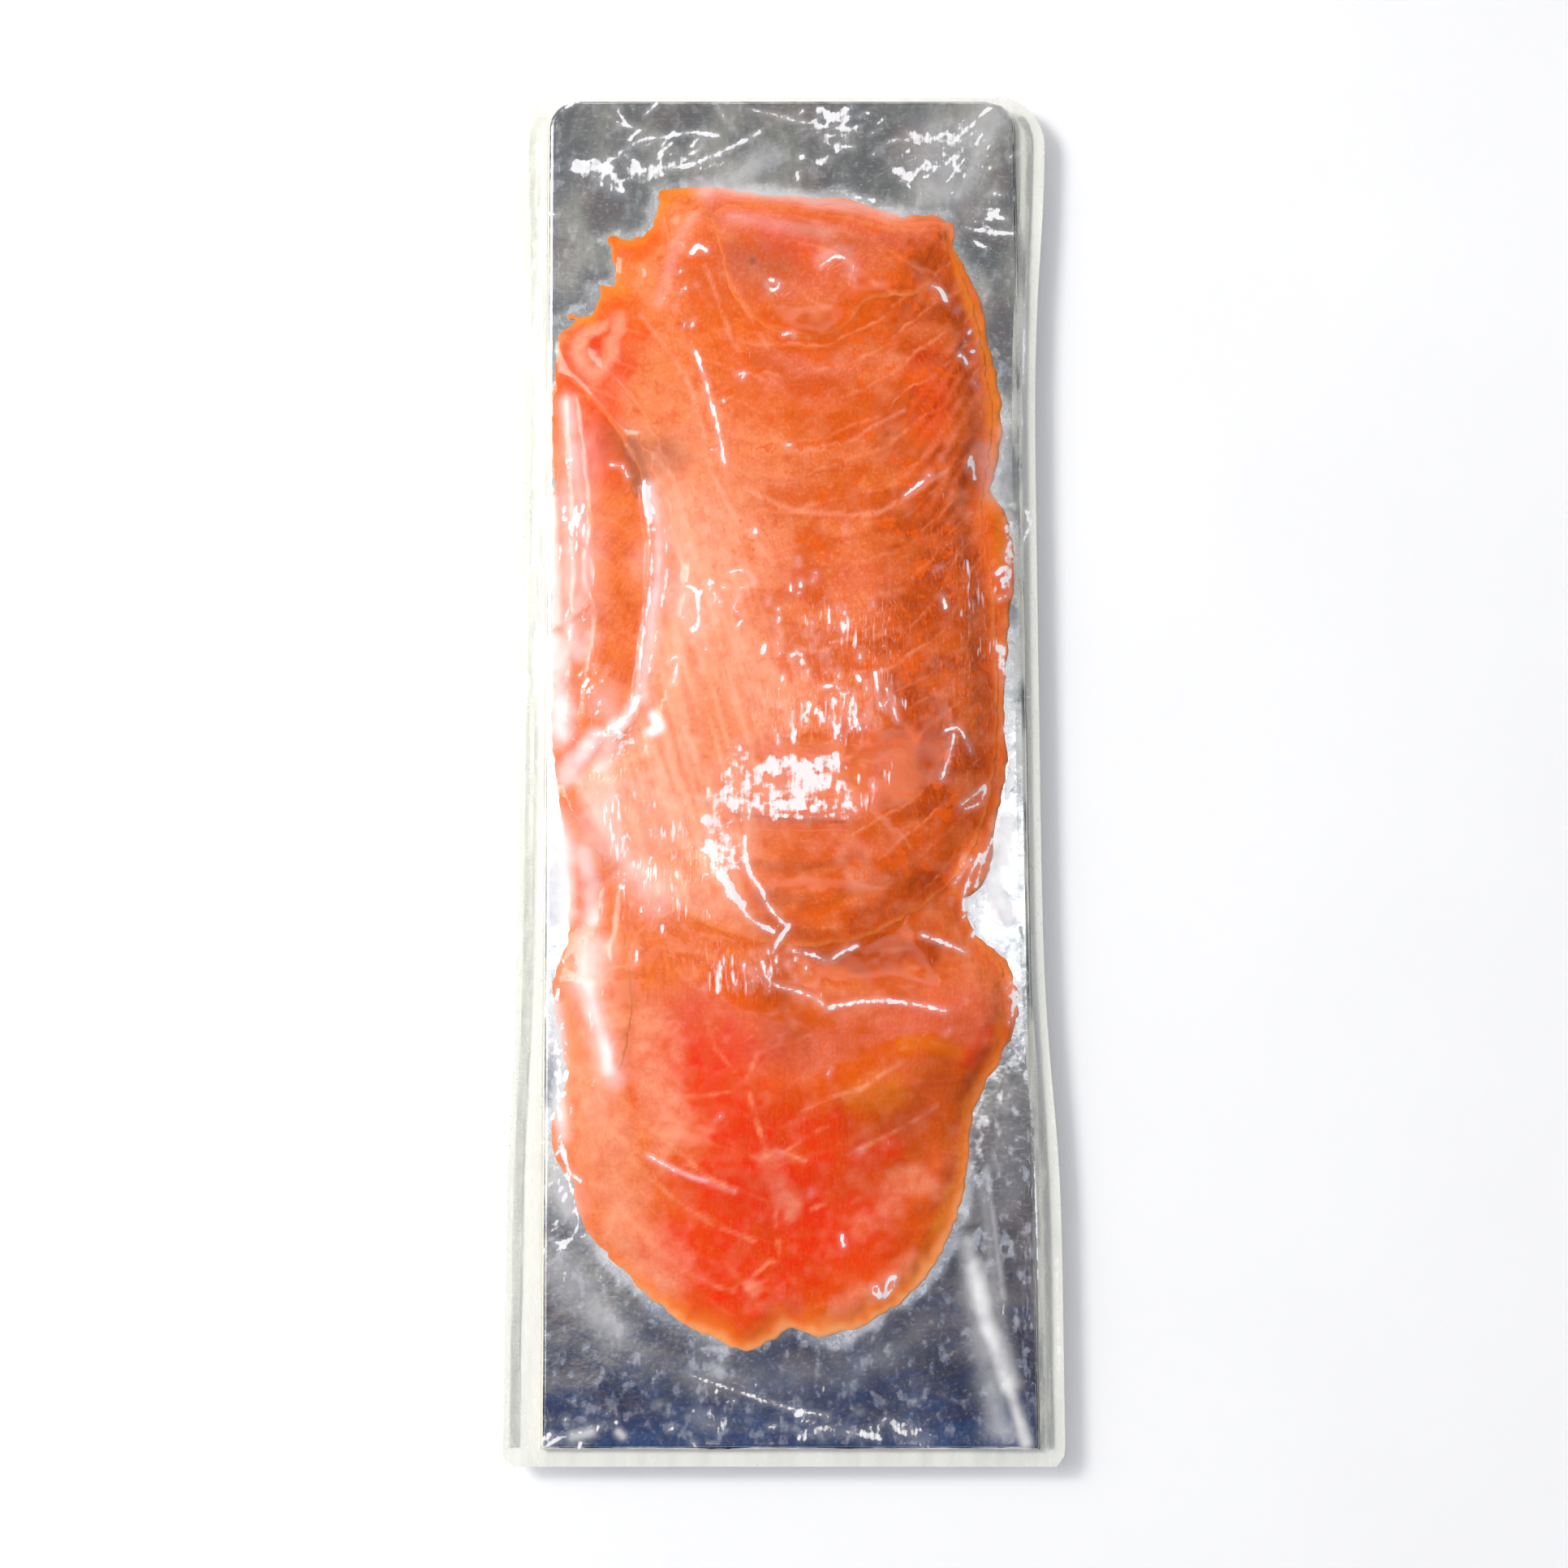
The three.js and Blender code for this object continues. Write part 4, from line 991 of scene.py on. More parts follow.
# Creases in the loose film over the bare card
CARD_CREASES = [
    (0.4, 1.0, [(-45.7, 129.7), (-43.0, 128.8), (-39.2, 131.2), (-35.7, 125.7), (-33.9, 123.1)]),
    (0.4, 1.0, [(-36.4, 131.9), (-33.4, 128.8), (-30.8, 126.1), (-29.1, 129.7), (-26.9, 128.6)]),
    (0.3, 0.6, [(-36.1, 132.3), (-31.7, 134.8), (-28.7, 135.9), (-21.2, 136.3), (-13.3, 136.5)]),
    (0.32, 0.6, [(-26.4, 128.6), (-21.2, 129.2), (-15.1, 131.5), (-8.9, 134.8), (-4.6, 137.4)]),
    (0.36, 1.6, [(-19.4, 125.7), (-11.5, 128.8), (-3.7, 133.4), (6.0, 138.9)]),
    (0.24, 0.5, [(-37.0, 143.0), (-37.6, 140.7), (-34.4, 137.9), (-30.0, 137.0), (-33.5, 140.7)]),
    (0.24, 0.5, [(-15.5, 144.0), (-14.2, 141.6), (-13.0, 140.0)]),
    (0.24, 0.5, [(-50.6, 118.4), (-48.5, 117.5)]),
    (0.34, 0.9, [(21.7, 128.8), (27.0, 132.4), (32.2, 132.1), (37.5, 129.7), (41.0, 130.6),
     (46.3, 134.3)]),
    (0.34, 0.8, [(40.0, 123.3), (45.3, 129.7), (49.8, 136.1), (53.0, 139.6)]),
    (0.26, 0.7, [(30.5, 137.0), (36.6, 134.3), (43.6, 136.1)]),
    (0.26, 0.7, [(25.2, 122.4), (30.4, 123.3), (33.9, 120.6)]),
    (0.28, 0.7, [(5.9, 121.5), (16.4, 125.1), (21.7, 128.8)]),
    (0.24, 0.5, [(37.3, 112.6), (43.4, 111.2), (46.9, 109.4)]),
    (0.24, 0.5, [(38.1, 107.0), (42.5, 107.4), (46.8, 106.1)]),
    (0.26, 0.8, [(4.2, 140.7), (11.2, 141.6), (16.5, 140.7), (20.9, 138.9)]),
    (0.26, 0.6, [(-48.8, -89.3), (-46.6, -93.5), (-43.2, -97.5), (-40.7, -101.6), (-39.9, -104.9)]),
    (0.24, 0.6, [(-49.4, -95.1), (-45.7, -98.4), (-44.0, -103.3)]),
    (0.2, 0.5, [(-19.1, -126.0), (-10.9, -128.4), (-2.6, -132.4), (5.6, -135.6)]),
    (0.3, 0.7, [(-49.3, -141.0), (-45.3, -138.8), (-40.4, -137.2)]),
    (0.26, 0.6, [(-46.9, -141.0), (-42.8, -139.6), (-41.1, -141.0)]),
    (0.3, 2.2, [(37.1, -100.8), (40.3, -109.8), (43.2, -119.5), (45.9, -130.8), (46.9, -141.2)]),
]
CREASE_NARROW = 0.75
CREASE_LOW = 0.65
SPAN_ROUNDS, SOFTEN_ROUNDS = 3, 14
LEAST_SLACK = 0.35
DEEPEST_WRINKLE = 0.1

# Highlights and reflections painted on the film: strength, half width, line along the middle.
# A painted sheen is soft and milky white, a glint bright and broken, painted dashes follow short
# lengthwise ridges
MARKS = {
    "painted_sheen": [
        (0.22, 4.6, [(-44.1, 67.2), (-43.3, 49.7), (-42.5, 28.9)]),
        (0.42, 2.0, [(-46.1, 76), (-44.3, 63.7), (-42.6, 49.7), (-41.4, 39.2), (-43.7, 30.6)]),
        (0.4, 2.4, [(-45.1, 28.9), (-43, 22), (-40.8, 25.4)]),
        (0.52, 1.5, [(-28.3, 57), (-26.6, 49.7), (-26.2, 41), (-27.6, 30.6), (-28.9, 22),
         (-29.7, 13.4)]),
        (0.3, 1.8, [(-25.5, 47.9), (-25.5, 39.2), (-26.8, 28.9), (-28.1, 18.5)]),
        (0.5, 2.0, [(-29.7, 12.5), (-33.9, 6.5), (-38.9, 3.1)]),
        (0.6, 2.6, [(-38.9, 4), (-42.7, -0.3), (-44.7, -3.7)]),
        (0.8, 1.2, [(-27.5, 8.3), (-25.9, 5.7), (-28, 4.8)]), (0.45, 2.4, [(-35.6, 6.5), (-38, -2)]),
        (0.35, 5.0, [(-37.1, -9.6), (-37.9, -17.2)]), (0.12, 5.0, [(-28.7, -9.6), (-27, -17.2)]),
        (0.14, 1.5, [(-22.6, 109.8), (-24.8, 102.6), (-26.5, 96.4)]),
        (0.14, 1.3, [(-19.2, 116.6), (-21.8, 112.5), (-23.8, 109.8)]),
        (0.7, 3.0, [(-48.4, 23.7), (-47.6, 13.4), (-46.5, 4.8)]),
        (0.5, 2.4, [(-41.5, -20.6), (-40.1, -29), (-39.7, -34)]),
        (0.32, 4.0, [(-45.4, 56.7), (-44.7, 39.2), (-43.7, 23.7)]),
        (0.16, 5.0, [(-28.2, 41), (-23.1, 34), (-19.3, 28.9)]),
        (0.26, 4.0, [(-37.8, 11.7), (-36.4, 8.3)]),
        (0.25, 2.0, [(47.3, 69.4), (47.4, 62.3), (46.8, 54.4)]),
        (0.09, 3.6, [(-29.8, -121.1), (-19.1, -126.5), (-9.2, -128.2), (0.7, -126.3), (10.5, -126.3),
         (20.4, -123.1), (28.7, -116.6)]),
        (0.12, 5.0, [(45.4, -72), (45.5, -91.8)]),
        (0.28, 5.0, [(45.5, 142.5), (39.2, 133.4), (32.2, 125.1)]),
        (0.14, 2.2, [(-10.6, 116.4), (-4.5, 115.2), (2.4, 113.6), (9, 112.3)]),
        (0.2, 0.9, [(-10.6, 116.6), (-8.8, 116.3)]),
        (0.15, 1.6, [(7.6, 106.2), (12.8, 108), (14.5, 103.5)]),
        (0.4, 3.6, [(-39.3, -39.9), (-40.6, -48.2)]),
        (0.7, 1.7, [(-40.6, -48.2), (-38.5, -54.8), (-36.5, -60.6), (-35.4, -65.6)]),
        (0.4, 2.6, [(-39.7, -49.9), (-37.1, -59), (-34.8, -66.4)]),
        (0.5, 0.4, [(-27.4, -82.8), (-23.7, -84.6), (-19.1, -86.7), (-15.5, -87.7)]),
        (0.16, 0.6, [(-19.1, -86.7), (-14.2, -88.5), (-10, -89.8)]),
        (0.3, 3.0, [(38.7, -108.2), (40.5, -119.5), (42.4, -130.8), (43.6, -137.2)]),
        (0.45, 1.8, [(37.4, -100), (38.2, -106.5), (39.1, -113)]),
        (0.76, 2.2, [(38.7, -104.9), (40.4, -113.8), (43, -121.1), (45.4, -128.4)]),
        (0.7, 1.3, [(45.1, -127.6), (47.1, -134.3), (48.9, -140.1)]),
        (0.8, 2.2, [(47, -13.2), (45.6, -20.9), (44.2, -26.8), (46.5, -33.6)]),
        (0.35, 4.0, [(-38.7, -12.1), (-32.8, -22.3), (-26.1, -30.7)]),
        (0.8, 3.4, [(-47.7, -14.9), (-46.2, -23.4), (-46.5, -31.9)]),
        (0.3, 0.9, [(41.6, -85.2), (43.1, -98.4), (44.6, -111.4)]),
        (0.22, 1.6, [(40.9, -88.5), (42, -101.6), (43.6, -114.7), (45.7, -127.6)]),
        (0.55, 0.8, [(51.3, 113.3), (51.2, 97.1), (50.9, 81)]),
        (0.4, 0.5, [(51.9, -70.4), (52.7, -83.6), (53.2, -98.4), (53.3, -115.8), (53.3, -140)]),
        (0.6, 1.2, [(47.4, 144.4), (49.1, 140.7)]),
        (0.55, 1.8, [(-49.4, 54.9), (-48.6, 42.7), (-47.8, 28.9)]),
        (0.6, 2.6, [(-48.3, -20), (-46.9, -26.8), (-46.5, -33.6)]),
        (0.5, 1.6, [(-42.2, -47.4), (-39.5, -54), (-36.8, -60.6)]),
        (0.5, 1.6, [(-47.3, -52), (-46.2, -60.4), (-46.4, -70.4), (-45.3, -78.6)]),
        (0.4, 3.0, [(-45.8, -88.5), (-44.1, -93.5)]),
        (0.25, 4.0, [(-45.7, -104.9), (-40.6, -111.4), (-34, -117.9)]),
        (0.3, 2.6, [(-2.8, 131.5), (-9.8, 127), (-16.8, 123.3)]),
        (0.25, 6.0, [(30.5, 130.6), (37.4, 124.2), (32.2, 135.2)]),
        (0.3, 2.0, [(46.3, 140.7), (41.8, 131.5), (37.4, 122.4)]),
        (0.3, 2.0, [(-15, 123.9), (-1, 122.4), (12.9, 120.2), (25.1, 118.4)]),
        (0.2, 3.0, [(42.9, 65), (44.6, 56.2)]),
        (0.6, 1.1, [(-42.8, -138.8), (-41, -138.5), (-39, -137.9)]),
        (0.6, 0.8, [(-33.5, -138), (-32.6, -138.8)]),
    ],
    "glint": [
        (0.8, 0.32, [(-29.5, 58.1), (-28.8, 53.2), (-28.1, 46.2), (-27.7, 39.2), (-28.6, 30.6),
         (-29.8, 22), (-30, 13.4)]),
        (0.66, 0.9, [(-28.8, 56.7), (-28.3, 52.3), (-27.9, 47.9)]),
        (0.6, 0.3, [(-25.2, 49.7), (-24.5, 41), (-25.6, 32.3), (-27.1, 23.7), (-28.7, 15.1)]),
        (0.62, 0.7, [(-30, 12), (-33, 7.9), (-37.2, 4.5)]),
        (0.85, 0.28, [(-27.5, -82.6), (-24.9, -84.1), (-22.1, -85.6)]),
        (0.7, 0.35, [(51.1, 115.2), (51.1, 102.5), (51.1, 88.1), (50.4, 72.1), (50.2, 56.2)]),
        (0.8, 0.35, [(50.7, -69.5), (51.3, -78.6), (51.6, -89.3), (51.9, -104.9), (52.4, -119.5),
         (52.5, -140)]),
        (0.55, 0.3, [(55.6, -101.6), (55.8, -114.7), (55.9, -130)]),
        (0.7, 0.3, [(49.2, 42.1), (50.8, 46.5), (52.6, 50.9)]),
        (0.7, 0.3, [(50.9, 53.5), (51.9, 50.9), (52.5, 48.2)]), (0.7, 0.3, [(51.2, 52.3), (53.3, 53)]),
        (0.58, 2.8, [(-2.7, -7.4), (3.2, -6.4), (9.1, -5.4)]),
        (0.56, 2.0, [(-1, -3.7), (5.7, -2.8), (10.8, -2.3)]),
        (0.56, 1.6, [(11.6, -6.2), (13.3, -9.6), (12.4, -12.5)]),
        (0.56, 1.6, [(-3.5, -2.8), (-1, -1.6), (1.5, -3)]), (0.66, 1.0, [(6.6, -1.6), (8.7, -2.1)]),
        (0.54, 2.6, [(-13.6, -9.6), (-8.6, -10.8), (-2.7, -11.5)]),
        (0.54, 1.8, [(-0.2, -10.5), (5.7, -11.1), (12.4, -10.8)]),
        (0.6, 1.0, [(-16.4, -9.8), (-13.6, -8.4), (-11.1, -7.1)]),
        (0.5, 1.6, [(-10.3, -1.1), (-8.6, 0.1)]),
        (0.5, 0.6, [(-13.6, -10.5), (-7.7, -12.1), (-1, -13), (7.4, -13.3), (13.3, -11.8)]),
        (0.46, 3.0, [(-10.2, -5.4), (-6.1, -4.5)]), (0.45, 1.6, [(11.6, -9.6), (14.4, -11.3)]),
        (0.8, 0.35, [(18.9, 17), (19.7, 11.7), (20.1, 9.8)]),
        (0.8, 0.32, [(21.4, 13.7), (22.4, 10.4), (23.6, 6.8)]),
        (0.75, 0.4, [(10.8, 14.4), (11.5, 13.4)]), (0.75, 0.4, [(15.3, 16.3), (15.9, 15.4)]),
        (0.75, 0.35, [(8.1, 14), (9.8, 14.3)]), (0.7, 0.32, [(10.8, 14.3), (13, 11)]),
        (0.7, 0.32, [(15.3, 7.1), (15.8, 5.2)]), (0.7, 0.32, [(13, 9.1), (14, 5.2)]),
        (0.75, 0.45, [(1.3, 7.1), (1.5, 5.9)]), (0.7, 0.35, [(4.3, 8.4), (4.6, 6.8)]),
        (0.75, 0.4, [(7.7, 8.4), (8.2, 6.8)]), (0.75, 0.35, [(10.4, 6.8), (10.7, 3.2)]),
        (0.7, 0.45, [(12.1, 27.5), (12.4, 25.5)]), (0.85, 0.26, [(18.1, -5.9), (18.6, -7.6)]),
        (0.8, 0.26, [(-1.3, 4), (-1.2, 2.3)]), (0.8, 0.26, [(16.9, 15.1), (17.2, 13.4)]),
        (0.66, 2.0, [(-14.3, -14.5), (-14.1, -18.6), (-12.4, -23.3)]),
        (0.7, 0.9, [(-15.6, -15.5), (-14.7, -20.6), (-12.4, -26.5), (-8.7, -31.5)]),
        (0.5, 1.6, [(-11.9, -15.5), (-11, -20.6), (-8.5, -24)]),
        (0.87, 0.42, [(-15.2, -19.4), (-13.7, -23.3), (-11.5, -26.5), (-10, -30), (-7.5, -33.8),
         (-4.7, -35.9), (-2.2, -37)]),
        (0.85, 0.34, [(-8.2, -17.2), (-7.9, -21.4), (-6.9, -25.3), (-4.5, -28.7), (-3.7, -31),
         (-1.3, -34), (0.8, -36)]),
        (0.87, 0.36, [(1, -35.7), (-1, -38.7), (-2.3, -41)]),
        (0.82, 0.36, [(1.8, -41), (5.7, -41.7), (9, -42.9), (12.3, -41), (14.8, -40)]),
        (0.87, 0.36, [(28.5, -37.7), (32.3, -39), (37.3, -41)]),
        (0.82, 0.32, [(-4.3, -43.2), (-3.5, -46.5), (-1, -48.2), (3.2, -49.4), (6.5, -50.7),
         (7.8, -52)]),
        (0.82, 0.36, [(9, -52.7), (14, -51.7), (20.6, -51.2), (27.2, -52), (33, -53.3)]),
        (0.8, 0.29, [(43.4, -17.2), (41.2, -22.3), (39.9, -27.3)]),
        (0.8, 0.29, [(40.8, -20.6), (38.3, -25.6), (37.4, -30.7), (39.9, -34.9), (39, -37.4)]),
        (0.75, 0.29, [(35.2, 4), (34.3, -0.3), (32.6, -5.4)]),
        (0.75, 0.26, [(33.5, 4.8), (36.1, 5.5), (38, 2.8), (39, 0.6)]),
        (0.75, 0.29, [(36.8, -10.5), (40.1, -7.9), (41.8, -6.2), (41, -9.6), (37.6, -11.3)]),
        (0.75, 0.29, [(-18.7, 86.1), (-16.8, 80.4), (-15.1, 73.3), (-13.3, 66.3), (-12.5, 61.9)]),
        (0.85, 0.36, [(-14.9, 74.2), (-13.9, 68.9)]),
        (0.8, 0.43, [(-19.7, 108), (-18.3, 109.3), (-16.6, 108.5)]),
        (0.75, 0.43, [(31.7, 100.8), (33.4, 100), (34.6, 97.6)]),
        (0.75, 0.29, [(-0.2, 89.8), (1.5, 90.3), (2.1, 89.4)]),
        (0.75, 0.29, [(-10, 80.9), (-8.2, 81.6), (-8.9, 80.2)]),
        (0.75, 0.36, [(37.8, 85.7), (38.8, 83.9)]),
        (0.75, 0.29, [(-3.1, 101.7), (-1, 100.8), (-2.4, 99.4), (-3.6, 100.8)]),
        (0.75, 0.29, [(7.6, 104.4), (11, 106.6), (14.2, 105.3), (14.5, 101.7)]),
        (0.75, 0.29, [(-13.3, 63.7), (-12.5, 61.6)]),
        (0.8, 0.36, [(38.8, 61), (39.6, 63.7), (40.3, 59.3)]),
        (0.7, 0.29, [(25.4, 54.9), (29.7, 58.4)]),
        (0.75, 0.32, [(-36.5, 61.9), (-34.3, 61.6), (-32.9, 59.3)]),
        (0.75, 0.36, [(-20.5, 35.8), (-18.3, 34), (-18, 27.1), (-19.6, 26.3)]),
        (0.75, 0.36, [(-24.3, 19.4), (-22.1, 20.3), (-23, 15.1)]),
        (0.7, 0.26, [(-11.2, 38.4), (-8.7, 38.9), (-6.1, 36.6), (-9.2, 34.9)]),
        (0.7, 0.26, [(-9.5, 33.2), (-10.3, 30.6), (-8.6, 28.9), (-9.8, 26.8)]),
        (0.75, 0.29, [(19.5, -111.2), (17.8, -109.6), (18.7, -108.8), (20, -110.7), (21.9, -109.6),
         (22.6, -107.1), (21.1, -108), (20.3, -111.2)]),
        (0.75, 0.29, [(11.7, -98.7), (12.1, -100.7)]), (0.75, 0.32, [(33.7, 30.9), (33.2, 33.2)]),
        (0.72, 1.3, [(-45, 129), (-42.7, 128.6), (-40.4, 129.3), (-38.7, 127.5)]),
        (0.7, 0.9, [(-40.4, 127.5), (-38.1, 124.6), (-35.3, 123.1)]),
        (0.68, 0.7, [(-37.8, 128.8), (-35.7, 125.1), (-34.2, 122.8)]),
        (0.64, 1.6, [(-32.2, 128.8), (-29.9, 127), (-26.9, 128.8)]),
        (0.68, 0.7, [(-34.3, 131.5), (-31.7, 129.7), (-32.2, 127.9)]),
        (0.85, 0.36, [(-26.9, 128.8), (-22, 128.8), (-16.8, 130.6), (-11.6, 133), (-5.4, 136.5)]),
        (0.83, 0.29, [(-36.1, 131.5), (-30.8, 134.8), (-25.6, 135.6), (-20.3, 136.5), (-14.2, 135.9)]),
        (0.75, 0.29, [(-37.1, 144), (-34.4, 138.9), (-30.9, 137), (-36.1, 138.9)]),
        (0.75, 0.26, [(-30, 140.7), (-27.4, 143.4)]), (0.75, 0.26, [(-15.1, 144), (-12.5, 139.2)]),
        (0.75, 0.29, [(-48.1, 141.6), (-45, 143.4), (-39.7, 144.4)]),
        (0.64, 0.9, [(7.7, 141.6), (11.2, 140.1), (14.7, 142.5)]),
        (0.75, 0.43, [(-7.2, 141.8), (-1.1, 140.3), (4.2, 138.9), (9.5, 137.8), (14.7, 137.4)]),
        (0.75, 0.36, [(19.1, 131.5), (22.6, 134.3), (26.1, 134.8), (29.6, 133.7)]),
        (0.64, 1.2, [(27, 136.1), (30.5, 134.8), (34.9, 135.6), (36.6, 134.3)]),
        (0.75, 0.36, [(35.7, 133.7), (39.3, 137), (42.8, 140.7), (45.5, 142.5)]),
        (0.8, 0.29, [(34.8, 125.1), (38.3, 129.7), (42.8, 136.1)]),
        (0.62, 1.0, [(24.3, 127.9), (26.9, 126.1)]), (0.62, 1.0, [(7.7, 130.1), (9.8, 130.8)]),
        (0.83, 0.43, [(15.5, 121.9), (18.2, 121.5), (20.8, 121)]),
        (0.75, 0.26, [(37.4, 119.7), (41.7, 118.4), (47.8, 117)]),
        (0.79, 0.36, [(44, 118.4), (46.9, 117.5)]),
        (0.79, 0.32, [(39.1, 115.2), (44.3, 114.2), (49.5, 113.9)]),
        (0.85, 0.36, [(-50.6, 118.4), (-48.9, 117.9)]),
        (0.8, 0.34, [(-48.5, -141.2), (-46.1, -139.6), (-42.8, -138.4), (-40, -138)]),
        (0.66, 0.34, [(-41.6, -141.2), (-40.7, -139.8)]),
        (0.67, 0.26, [(-20.7, -126), (-14.1, -128.4), (-7.6, -130.5), (0.7, -133.2), (8.9, -134.8)]),
        (0.4, 1.6, [(-17.4, -134.8), (-13.3, -136.4)]), (0.4, 1.4, [(22, -136.4), (28.5, -139.6)]),
        (0.48, 0.8, [(3.9, -138.8), (7.2, -137.6), (12.1, -138), (18.7, -138.8)]),
        (0.75, 0.29, [(-44.2, -86.9), (-42.8, -91.8), (-42.1, -96.7), (-44.1, -100), (-47.3, -102.4)]),
        (0.75, 0.29, [(-47.4, -100), (-44.1, -100), (-40.4, -98.7)]),
        (0.58, 0.8, [(-48.6, -52.9), (-47.5, -56.2)]),
        (0.75, 0.36, [(-47.1, -65.4), (-46.4, -70.4), (-47.7, -75.3)]),
        (0.75, 0.43, [(-45.9, -78.6), (-44.2, -85.2), (-41.7, -87.7)]),
        (0.7, 0.36, [(46.8, -47), (47.6, -51.2), (46.4, -55.4)]),
        (0.7, 0.29, [(49.6, -56.2), (47.5, -58.7)]),
        (0.7, 0.43, [(44.9, 38.9), (47, 40.3), (47.4, 38.3), (46.1, 37.4)]),
        (0.7, 0.29, [(45.2, 33.4), (47.4, 34.6)]), (0.53, 0.8, [(45.4, 22.9), (46.3, 16)]),
        (0.53, 0.8, [(47.3, -4.7), (46.4, -8.9)]),
    ],
    "painted_dashes": [
        (0.42, 4.0, [(3.2, 7.4), (12.5, 8.3), (20.9, 11.7)]), (0.36, 4.0, [(7.5, 27.1), (15.9, 25.4)]),
        (0.46, 3.0, [(-38, -7.9), (-33.7, -17.2), (-29.4, -25.6), (-24.4, -32.3)]),
        (0.4, 4.0, [(-32.9, -8.8), (-22.8, -18.9)]),
        (0.5, 3.4, [(-37.9, -9.6), (-29.4, -25.6), (-19.4, -34)]),
        (0.44, 3.0, [(-14.3, -45.7), (-7.7, -46.5), (-2.7, -45.7)]),
        (0.34, 4.0, [(39.7, 39.2), (41.3, 25.4)]), (0.4, 3.0, [(17.5, -8.8), (20, -3.7)]),
        (0.44, 2.0, [(-40.6, -48.2), (-38.3, -55.7)]),
    ],
}
SHEEN_ROUND_GLINT = 0.22
MARK_REACH, MARK_MARGIN = 2.6, 1.2

# Small random painted glints where the film is crumpled:
# centre, reach across and along, count, heading, spread of heading, length, strength
SCATTER = [
    (-38, 127, 6, 4, 20, 50, 60, 2.6, 0.72), (-24, 131, 10, 5, 18, 35, 20, 4.0, 0.6),
    (11, 138, 11, 3.6, 26, 30, 50, 2.6, 0.66), (36, 131, 9, 7, 34, 42, 16, 6.5, 0.6),
    (34, 131, 9, 6, 18, -40, 20, 3.4, 0.62), (43, 118, 5, 8, 12, -10, 20, 3.2, 0.66),
    (-2, 132, 16, 6, 8, 30, 60, 1.2, 0.7), (47.8, 40, 1.6, 14, 26, 85, 40, 2.4, 0.7),
    (47.6, -2, 1.8, 18, 26, 80, 40, 2.4, 0.7), (48.0, -50, 2.0, 14, 26, 70, 50, 2.6, 0.7),
    (-44, 50, 2.4, 22, 22, 82, 14, 4.0, 0.6), (-40, 14, 4, 12, 18, 50, 50, 2.6, 0.62),
    (-35, 3, 6, 4, 14, 25, 20, 3.4, 0.62), (-46.4, -64, 2.0, 16, 34, 80, 40, 3.0, 0.7),
    (-46, -92, 3.0, 12, 16, 60, 50, 2.4, 0.66), (-44, -138, 6, 2.6, 7, 20, 30, 2.0, 0.6),
    (6, -137, 16, 3, 12, 15, 50, 1.2, 0.5), (-10, -134, 30, 6, 20, 40, 80, 0.9, 0.5),
    (43, -122, 4, 18, 10, 84, 8, 6.0, 0.42), (-16, 33, 5, 9, 16, 70, 70, 1.0, 0.66),
    (6, 24, 13, 16, 34, 82, 14, 1.6, 0.66), (12, 9, 11, 5, 26, 78, 12, 2.2, 0.72),
    (-12, -19, 3.0, 8, 26, 20, 30, 2.0, 0.62), (-4, -45, 9, 4, 22, 82, 14, 1.6, 0.66),
    (-30, -24, 6, 12, 24, 80, 10, 2.6, 0.6), (38, 88, 5, 18, 8, 60, 60, 1.0, 0.66),
    (0, 60, 34, 34, 6, 60, 90, 1.4, 0.56), (0, -75, 32, 26, 6, 60, 90, 1.4, 0.56),
    (38, -30, 3, 12, 10, 60, 40, 2.0, 0.66), (14, 30, 30, 30, 6, 70, 60, 1.6, 0.6),
    (-22, 100, 6, 12, 10, 70, 30, 1.6, 0.5),
]
SCATTER_SEED = 5

# Where the film is pulled into fine parallel ridges: centre, reach, strength
COMBS = [
    (13, 22, 12, 14, 0.8), (6, 9, 14, 6, 1.0), (-32, -12, 9, 20, 0.7), (-9, -45, 9, 6, 0.9),
    (38, 25, 7, 30, 0.35), (-24, -22, 10, 14, 0.6),
]
LEAST_COMB = 0.03

# Fine painted hairlines of light: everywhere, with the ridges, and over the side margins
HAIR_ALL, HAIR_COMB, HAIR_SIDES = 0.04, 0.3, 0.2
# Small crumples: everywhere, in the crease across the main slice, and along the fold below it
CRINKLE_ALL, CRINKLE_CREASE, CRINKLE_FOLD = 0.02, 0.5, 0.4


def pack_edge(y, side):
    half = pack_length / 2
    width = pack_width + (PACK_TOP_WIDTH - pack_width) * (y + half) / pack_length
    waist = WAIST_DEPTH[side] * np.exp(-((y - WAIST_PLACE) / WAIST_REACH) ** WAIST_FULLNESS)
    inset = (corner_inset(half - y, *CORNERS[side, 1], CORNER_FULLNESS)
             + corner_inset(half + y, *CORNERS[side, -1], CORNER_FULLNESS))
    return side * (width / 2 - waist - inset)


def smooth_line(points, steps=4):
    """A rounder open line through the points."""
    if len(points) < 3:
        return points
    p = np.array([points[0], *points, points[-1]], float)
    t = np.linspace(0, 1, steps, endpoint=False)[:, None]
    pieces = []
    for a, b, c, d in zip(p[:-3], p[1:-2], p[2:-1], p[3:]):
        pieces.append(b + 0.5 * ((c - a) * t + (2 * a - 5 * b + 4 * c - d) * t ** 2
                                 + (3 * b - a - 3 * c + d) * t ** 3))
    return np.vstack(pieces + [p[-1:]])


def grow(field, rounds):
    for _ in range(rounds):
        p = np.pad(field, 1, mode="edge")
        field = np.maximum.reduce([field, p[:-2, 1:-1], p[2:, 1:-1], p[1:-1, :-2], p[1:-1, 2:]])
    return field


def blur(field, rounds):
    for _ in range(rounds):
        p = np.pad(field, 1, mode="edge")
        field = (p[:-2, 1:-1] + p[2:, 1:-1]) / 4 + field / 2
        p = np.pad(field, 1, mode="edge")
        field = (p[1:-1, :-2] + p[1:-1, 2:]) / 4 + field / 2
    return field


